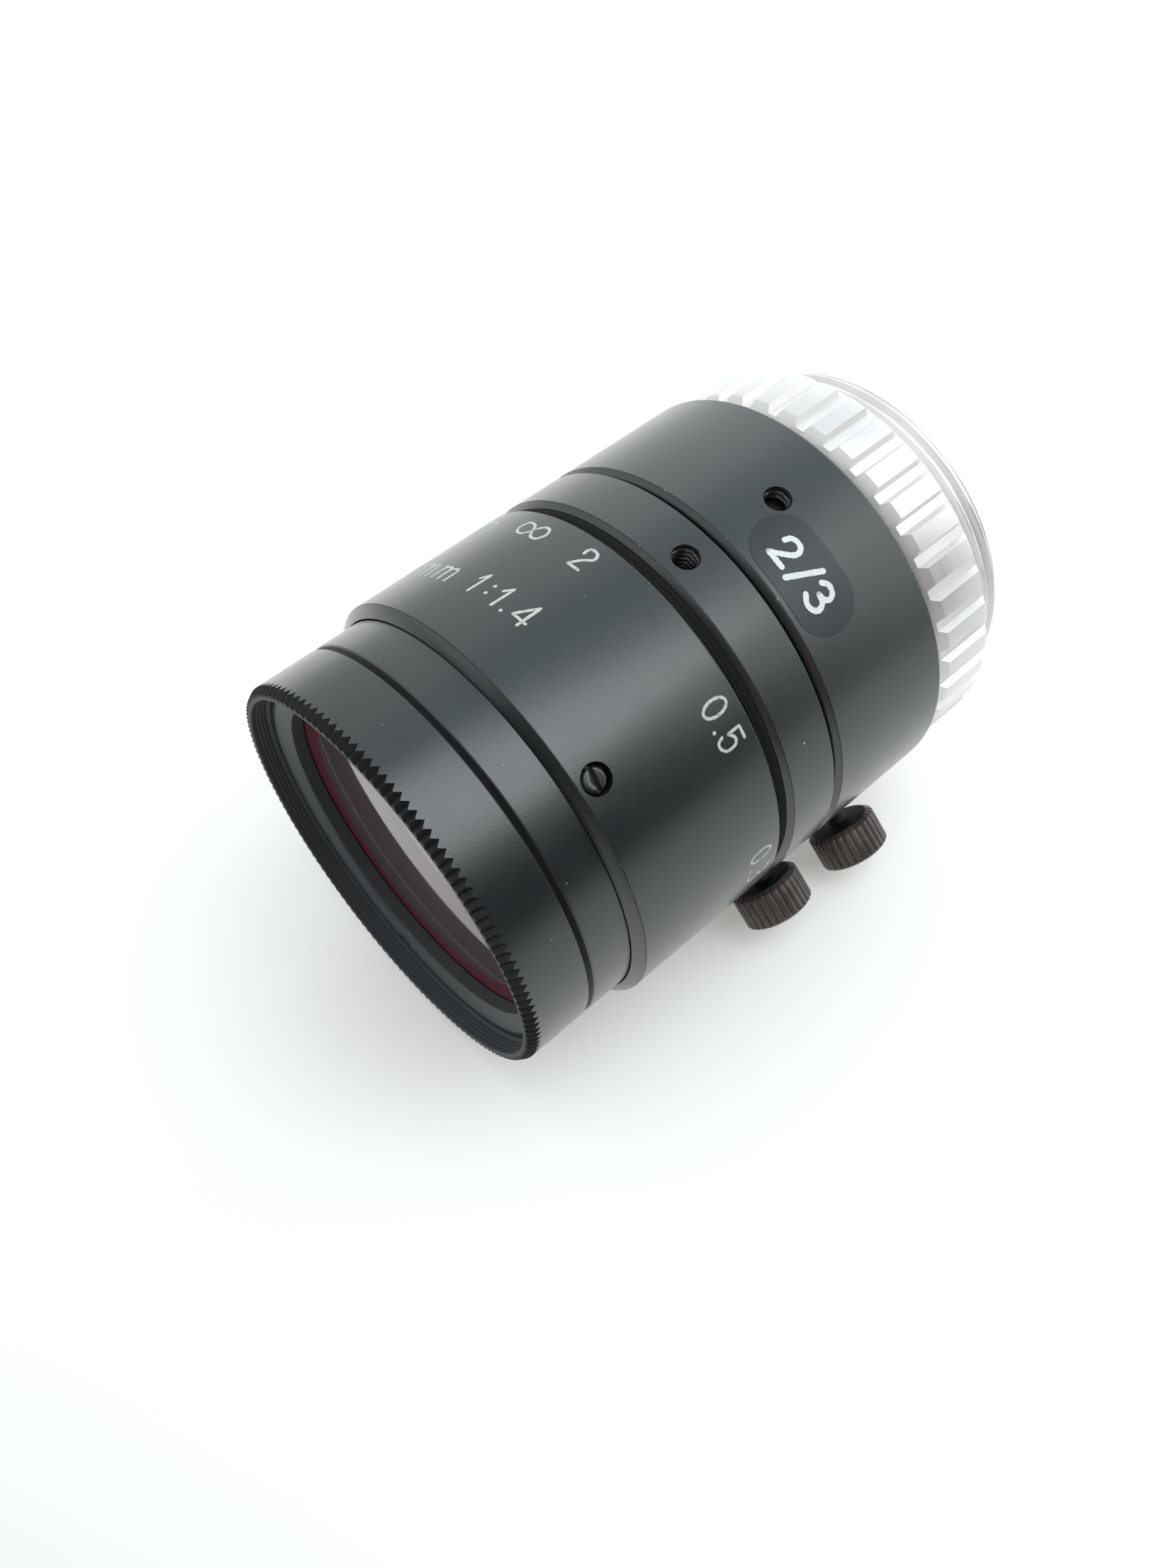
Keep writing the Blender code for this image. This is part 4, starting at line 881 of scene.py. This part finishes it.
def stroke(bm, points, width, radius, rng):
    """A ribbon of slightly uneven width, with round ends, along a path on the ring."""
    points = dense(points)
    sides = []
    for n, point in enumerate(points):
        here = Vector(point)
        along = Vector(points[min(n + 1, len(points) - 1)]) - Vector(points[max(n - 1, 0)])
        if along.length < 1e-9:
            continue
        along.normalize()
        across = Vector((-along.y, along.x)) * width / 2 * rng.uniform(0.86, 1.1)
        sides.append((here + across, here - across))
    rows = [[bm.verts.new(on_ring(*point, radius)) for point in pair] for pair in sides]
    for one, other in zip(rows, rows[1:]):
        bm.faces.new((one[0], other[0], other[1], one[1]))
    for end in (points[0], points[-1]):
        dot(bm, end, width, radius)


def oval(centre, wide, tall, count=20):
    """Points round an oval, the last one on the first."""
    angles = [TURN * k / count for k in range(count + 1)]
    return [(centre[0] + wide / 2 * math.cos(a), centre[1] + tall / 2 * math.sin(a)) for a in angles]


def dot(bm, centre, width, radius):
    corners = oval(centre, width, width, 12)[:-1]
    bm.faces.new([bm.verts.new(on_ring(*corner, radius)) for corner in corners])


def flat_glyphs(name, strokes, dots, width, radius, material, seed=5):
    """Flat signs from strokes and dots just above a ring, facing outwards."""
    bm = bmesh.new()
    rng = random.Random(seed)
    for points in strokes:
        stroke(bm, points, width, radius, rng)
    for centre in dots:
        dot(bm, centre, width * 1.25, radius)
    mesh = bpy.data.meshes.new(name)
    for face in bm.faces:
        outward = face.calc_center_median() - Vector((AXIS_X, 0, AXIS_Z)) * MM
        outward.y = 0
        face.normal_update()
        if face.normal.dot(outward) < 0:
            face.normal_flip()
    bm.to_mesh(mesh)
    bm.free()
    mesh.materials.append(material)
    made = bpy.data.objects.new(name, mesh)
    bpy.context.scene.collection.objects.link(made)
    return made


def letter_m(right, base, wide, tall):
    """A small m whose right stem stands at this place."""
    left, middle = right - wide, right - wide / 2
    strokes = []
    for stem, after in ((right, middle), (middle, left)):
        strokes.append([
            (stem, base), (stem, base + tall * 0.75), (stem - 0.15, base + tall),
            (after + 0.15, base + tall * 0.9), (after, base + tall * 0.7),
        ])
    return [*strokes, [(left, base), (left, base + tall)]]


def focus_scale():
    """Distance scale and the plain focal length and aperture line."""
    infinity = smooth_path([
        (-13.15, 17.89), (-13.58, 17.45), (-14.05, 17.42), (-14.38, 17.72), (-14.43, 18.15),
        (-14.25, 18.47), (-13.95, 18.55), (-13.45, 18.37), (-13.15, 17.89), (-12.79, 17.46),
        (-12.45, 17.38), (-12.16, 17.5), (-11.95, 18.03), (-12.14, 18.46), (-12.4, 18.57),
        (-12.67, 18.54), (-13.09, 18.16), (-13.15, 17.89),
    ])
    two = smooth_path([
        (-8.82, 18.28), (-8.84, 18.6), (-8.66, 18.83), (-8.24, 18.79), (-8.05, 18.58), (-8.03, 18.25),
        (-8.48, 17.81), (-8.92, 17.10),
    ])
    strokes = [infinity, two, [(-8.92, 17.10), (-8.06, 17.12)]]
    strokes += letter_m(-17.3, 16.95, 1.4, 1.25)
    for centre, digit in ((3.28, 5), (14.7, 3)):
        strokes.append(oval((centre, 18.0), 0.95, 1.72))
        right = centre + 2.1
        if digit == 5:
            strokes.append([(right + 0.4, 18.86), (right - 0.38, 18.85), (right - 0.36, 17.95)])
            strokes.append(smooth_path([
                (right - 0.36, 17.95), (right + 0.05, 18.28), (right + 0.42, 18.1),
                (right + 0.45, 17.45), (right + 0.1, 17.12), (right - 0.25, 17.15), (right - 0.42, 17.5),
            ]))
        else:
            for low, high in ((18.0, 18.86), (17.12, 18.0)):
                middle = (low + high) / 2
                strokes.append(smooth_path([
                    (right - 0.3, high), (right + 0.2, high - 0.05), (right + 0.4, middle),
                    (right + 0.2, low + 0.05), (right - 0.3, low),
                ]))
    strokes += [
        [(-11.66, 11.83), (-11.57, 13.57), (-11.94, 13.0)],
        [(-9.53, 11.87), (-9.47, 13.58), (-9.87, 13.06)],
        [(-7.29, 11.88), (-7.28, 13.66), (-8.11, 12.27), (-7.03, 12.27)],
        [(-20.6, 11.87), (-20.55, 13.58), (-20.95, 13.06)],
        smooth_path([
            (-18.85, 13.55), (-19.3, 13.3), (-19.6, 12.6), (-19.55, 12.1), (-19.2, 11.85),
            (-18.8, 12.0), (-18.72, 12.5), (-19.0, 12.85), (-19.4, 12.7),
        ]),
    ]
    strokes += letter_m(-13.97, 11.72, 1.45, 1.25)
    strokes += letter_m(-16.2, 11.72, 1.45, 1.25)
    dots = [(-10.58, 13.03), (-10.58, 12.32), (-8.78, 11.95), (4.45, 17.2), (15.86, 17.2)]
    return flat_glyphs("distance_scale", strokes, dots, 0.2, RING_RADIUS + 0.004, PAINT)


def sticker():
    """Thin oblong label that follows the ring."""
    middle, station, wide, tall, thickness = 0.17, 27.93, 8.25, 4.5, 0.03
    columns = 48
    top = RING_RADIUS + thickness
    bm = bmesh.new()
    lines = []
    for k in range(columns + 1):
        across = middle - wide / 2 + wide * k / columns
        offset = abs(across - middle) - (wide - tall) / 2
        half = tall / 2 if offset <= 0 else math.sqrt(max(0.0, (tall / 2) ** 2 - offset ** 2))
        lines.append([
            bm.verts.new(on_ring(across, station + half * share, top)) for share in (-1, -0.33, 0.33, 1)
        ])
    for one, other in zip(lines, lines[1:]):
        for k in range(3):
            bm.faces.new((one[k], one[k + 1], other[k + 1], other[k]))
    rim = [edge for edge in bm.edges if edge.is_boundary]
    made = bmesh.ops.extrude_edge_only(bm, edges=rim)
    axis = Vector((AXIS_X, 0, AXIS_Z)) * MM
    for vert in (part for part in made["geom"] if isinstance(part, bmesh.types.BMVert)):
        out = vert.co - axis
        out.y = 0
        vert.co -= out.normalized() * (thickness + 0.02) * MM
    bmesh.ops.remove_doubles(bm, verts=bm.verts, dist=1e-7)
    return finished("format_label", bm, Matrix.Identity(4), STICKER, 30)


def sticker_print():
    """Sensor format in the place of the print on the label."""
    two = smooth_path([
        (-2.1, 28.2), (-1.95, 28.6), (-1.6, 28.78), (-1.2, 28.72), (-0.98, 28.4), (-1.05, 28.0),
        (-1.55, 27.4), (-2.12, 26.85),
    ])
    three_top = smooth_path([
        (1.22, 28.45), (1.55, 28.78), (2.05, 28.72), (2.3, 28.35), (2.12, 27.98), (1.68, 27.86),
    ])
    three_low = smooth_path([
        (1.68, 27.86), (2.22, 27.72), (2.42, 27.3), (2.2, 26.92), (1.7, 26.8), (1.2, 27.1),
    ])
    strokes = [two, [(-2.12, 26.85), (-0.92, 26.85)], [(-0.3, 26.6), (0.72, 29.0)], three_top, three_low]
    return flat_glyphs("format_print", strokes, [], 0.38, RING_RADIUS + 0.036, PRINT, 9)


dress(focus_scale(), "focus_ring", "barrel_black")
dress(sticker(), "iris_ring", "barrel_black")
dress(sticker_print(), "iris_ring", "barrel_black")


# Pieces carried over from the CAD part

CARRIED = (
    (MAGENTA, ["third_element", "fourth_element", "rear_element_1", "rear_element_2"]),
    (MATT, ["middle_spacer", "tube_retaining_ring", "iris_cage", "iris_retaining_ring"]),
    (MATT, ["rear_cell", "rear_spacer", "rear_retaining_ring"]),
    (BLADE, ["iris_cam_ring", *(f"iris_blade_{n + 1}" for n in range(5))]),
    (STEEL, ["iris_drive_screw", "focus_guide_screw"]),
)
for material, names in CARRIED:
    for name in names:
        mesh = frame["nodes"][name].data
        mesh.materials.clear()
        mesh.materials.append(material)


# Floor, light and camera

def floor():
    """Pale table that keeps the shadow, a little brighter for the camera and in reflections.

    Painted shade makes its colour darker far to the right and towards the front, like the room that the
    black rings mirror.
    """
    nodes = Nodes(bpy.data.materials.new("white_table"))
    place = nodes.add("ShaderNodeSeparateXYZ", {"Vector": nodes.place()})
    across, along = place.outputs["X"], place.outputs["Y"]
    colour = nodes.ramp(nodes.noise(9, 2), [(0.2, (0.83, 0.825, 0.805)), (0.8, (0.86, 0.85, 0.83))])
    # Painted shade: the colour darkens far to the right and towards the front.
    far = nodes.ramp(nodes.spread(across, 70 * MM, 210 * MM), [(0.0, 1.0), (1.0, 0.55)])
    forward = nodes.calc("MULTIPLY_ADD", across, 0.5, nodes.calc("MULTIPLY", along, -1.0))
    near = nodes.ramp(nodes.spread(forward, 20 * MM, 220 * MM), [
        (0.1, 1.0), (0.17, 0.92), (0.235, 0.76), (0.33, 0.58), (0.6, 0.4), (1.0, 0.25),
    ])
    for painted_shade in (far, near):
        colour = nodes.vector("MULTIPLY", colour, painted_shade)
    nodes.set(Base_Color=colour, Roughness=0.55)

    path = nodes.add("ShaderNodeLightPath")
    # Painted light: the table glows more in reflections to the left of the lens, fading to the right and
    # towards the front.
    shine = nodes.spread(across, -30 * MM, 70 * MM, 2.2, 0.0, smooth=True)
    shine = nodes.calc("MULTIPLY", shine, nodes.spread(along, -60 * MM, -15 * MM, smooth=True))
    seen = nodes.calc("MULTIPLY", path.outputs["Is Glossy Ray"], shine)
    for ray in ("Is Camera Ray", "Is Transmission Ray"):
        seen = nodes.calc("MAXIMUM", path.outputs[ray], seen)
    nodes.set(Emission_Color=(1, 0.98, 0.93, 1), Emission_Strength=nodes.calc("MULTIPLY", seen, 0.27))

    bm = bmesh.new()
    bmesh.ops.create_grid(bm, x_segments=1, y_segments=1, size=1.5)
    made = finished("table", bm, Matrix.Translation((0, 0, -0.02 * MM)), nodes.owner)
    made.modifiers.clear()
    return made


def world():
    """Pale room, lighter behind the lens, with a blue patch above and darker patches low around it."""
    made = bpy.data.worlds.new("room")
    bpy.context.scene.world = made
    nodes = Nodes(made)
    direction = nodes.place("Generated")
    parts = nodes.add("ShaderNodeSeparateXYZ", {"Vector": direction})
    level = nodes.spread(parts.outputs["Y"], 0.25, 1.0, 0.9, 2.2)
    pale = {0: (0.90, 0.98, 0.985), "Scale": level}
    colour = nodes.add("ShaderNodeVectorMath", pale, operation="SCALE").outputs[0]

    def lobe(centre, wide, narrow):
        """1 within a narrow angle of a direction and 0 outside a wide one."""
        towards = {0: direction, 1: Vector(centre).normalized()}
        near = nodes.add("ShaderNodeVectorMath", towards, operation="DOT_PRODUCT").outputs["Value"]
        low, high = (math.cos(math.radians(angle)) for angle in (wide, narrow))
        return nodes.spread(near, low, high, smooth=True)

    patches = (
        ((-0.15, 0.42, 0.90), 28, 10, (0.66, 0.78, 0.88)),
        ((0.96, -0.04, 0.08), 48, 27, (0.03, 0.035, 0.04)),
        ((0.24, -0.95, 0.10), 41, 23, (0.12, 0.125, 0.13)),
        ((0.71, -0.68, 0.21), 17, 7, (0.42, 0.25, 0.21)),
    )
    for centre, wide, narrow, tone in patches:
        colour = nodes.mix(lobe(centre, wide, narrow), colour, tone)
    nodes.tree.links.new(colour, nodes.tree.nodes["Background"].inputs["Color"])


def soft_light(name, place, turn, size, power, colour):
    """A wide lamp that looks straight down from a place in millimetres, turned about the vertical."""
    data = bpy.data.lights.new(name, "AREA")
    data.shape = "RECTANGLE"
    data.size, data.size_y = (value * MM for value in size)
    data.energy = power
    data.color = colour
    lamp = bpy.data.objects.new(name, data)
    bpy.context.scene.collection.objects.link(lamp)
    lamp.location = Vector(place) * MM
    lamp.rotation_euler = (0, 0, math.radians(turn))


def camera():
    """Seen from above, in front and to the right, as in the photograph."""
    data = bpy.data.cameras.new("camera")
    data.sensor_width = 36
    data.lens = FOCAL_LENGTH
    data.clip_start = 0.001
    made = bpy.data.objects.new("camera", data)
    bpy.context.scene.collection.objects.link(made)
    made.location = Vector(CAMERA_PLACE) * MM
    made.rotation_euler = [math.radians(value) for value in CAMERA_TURN]
    bpy.context.scene.camera = made


floor()
world()
camera()
soft_light("ceiling_lamp", (167, 108, 400), 33.7, (409, 182), 0.53, (0.91, 0.985, 1.0))

bpy.context.scene.view_settings.view_transform = "Standard"
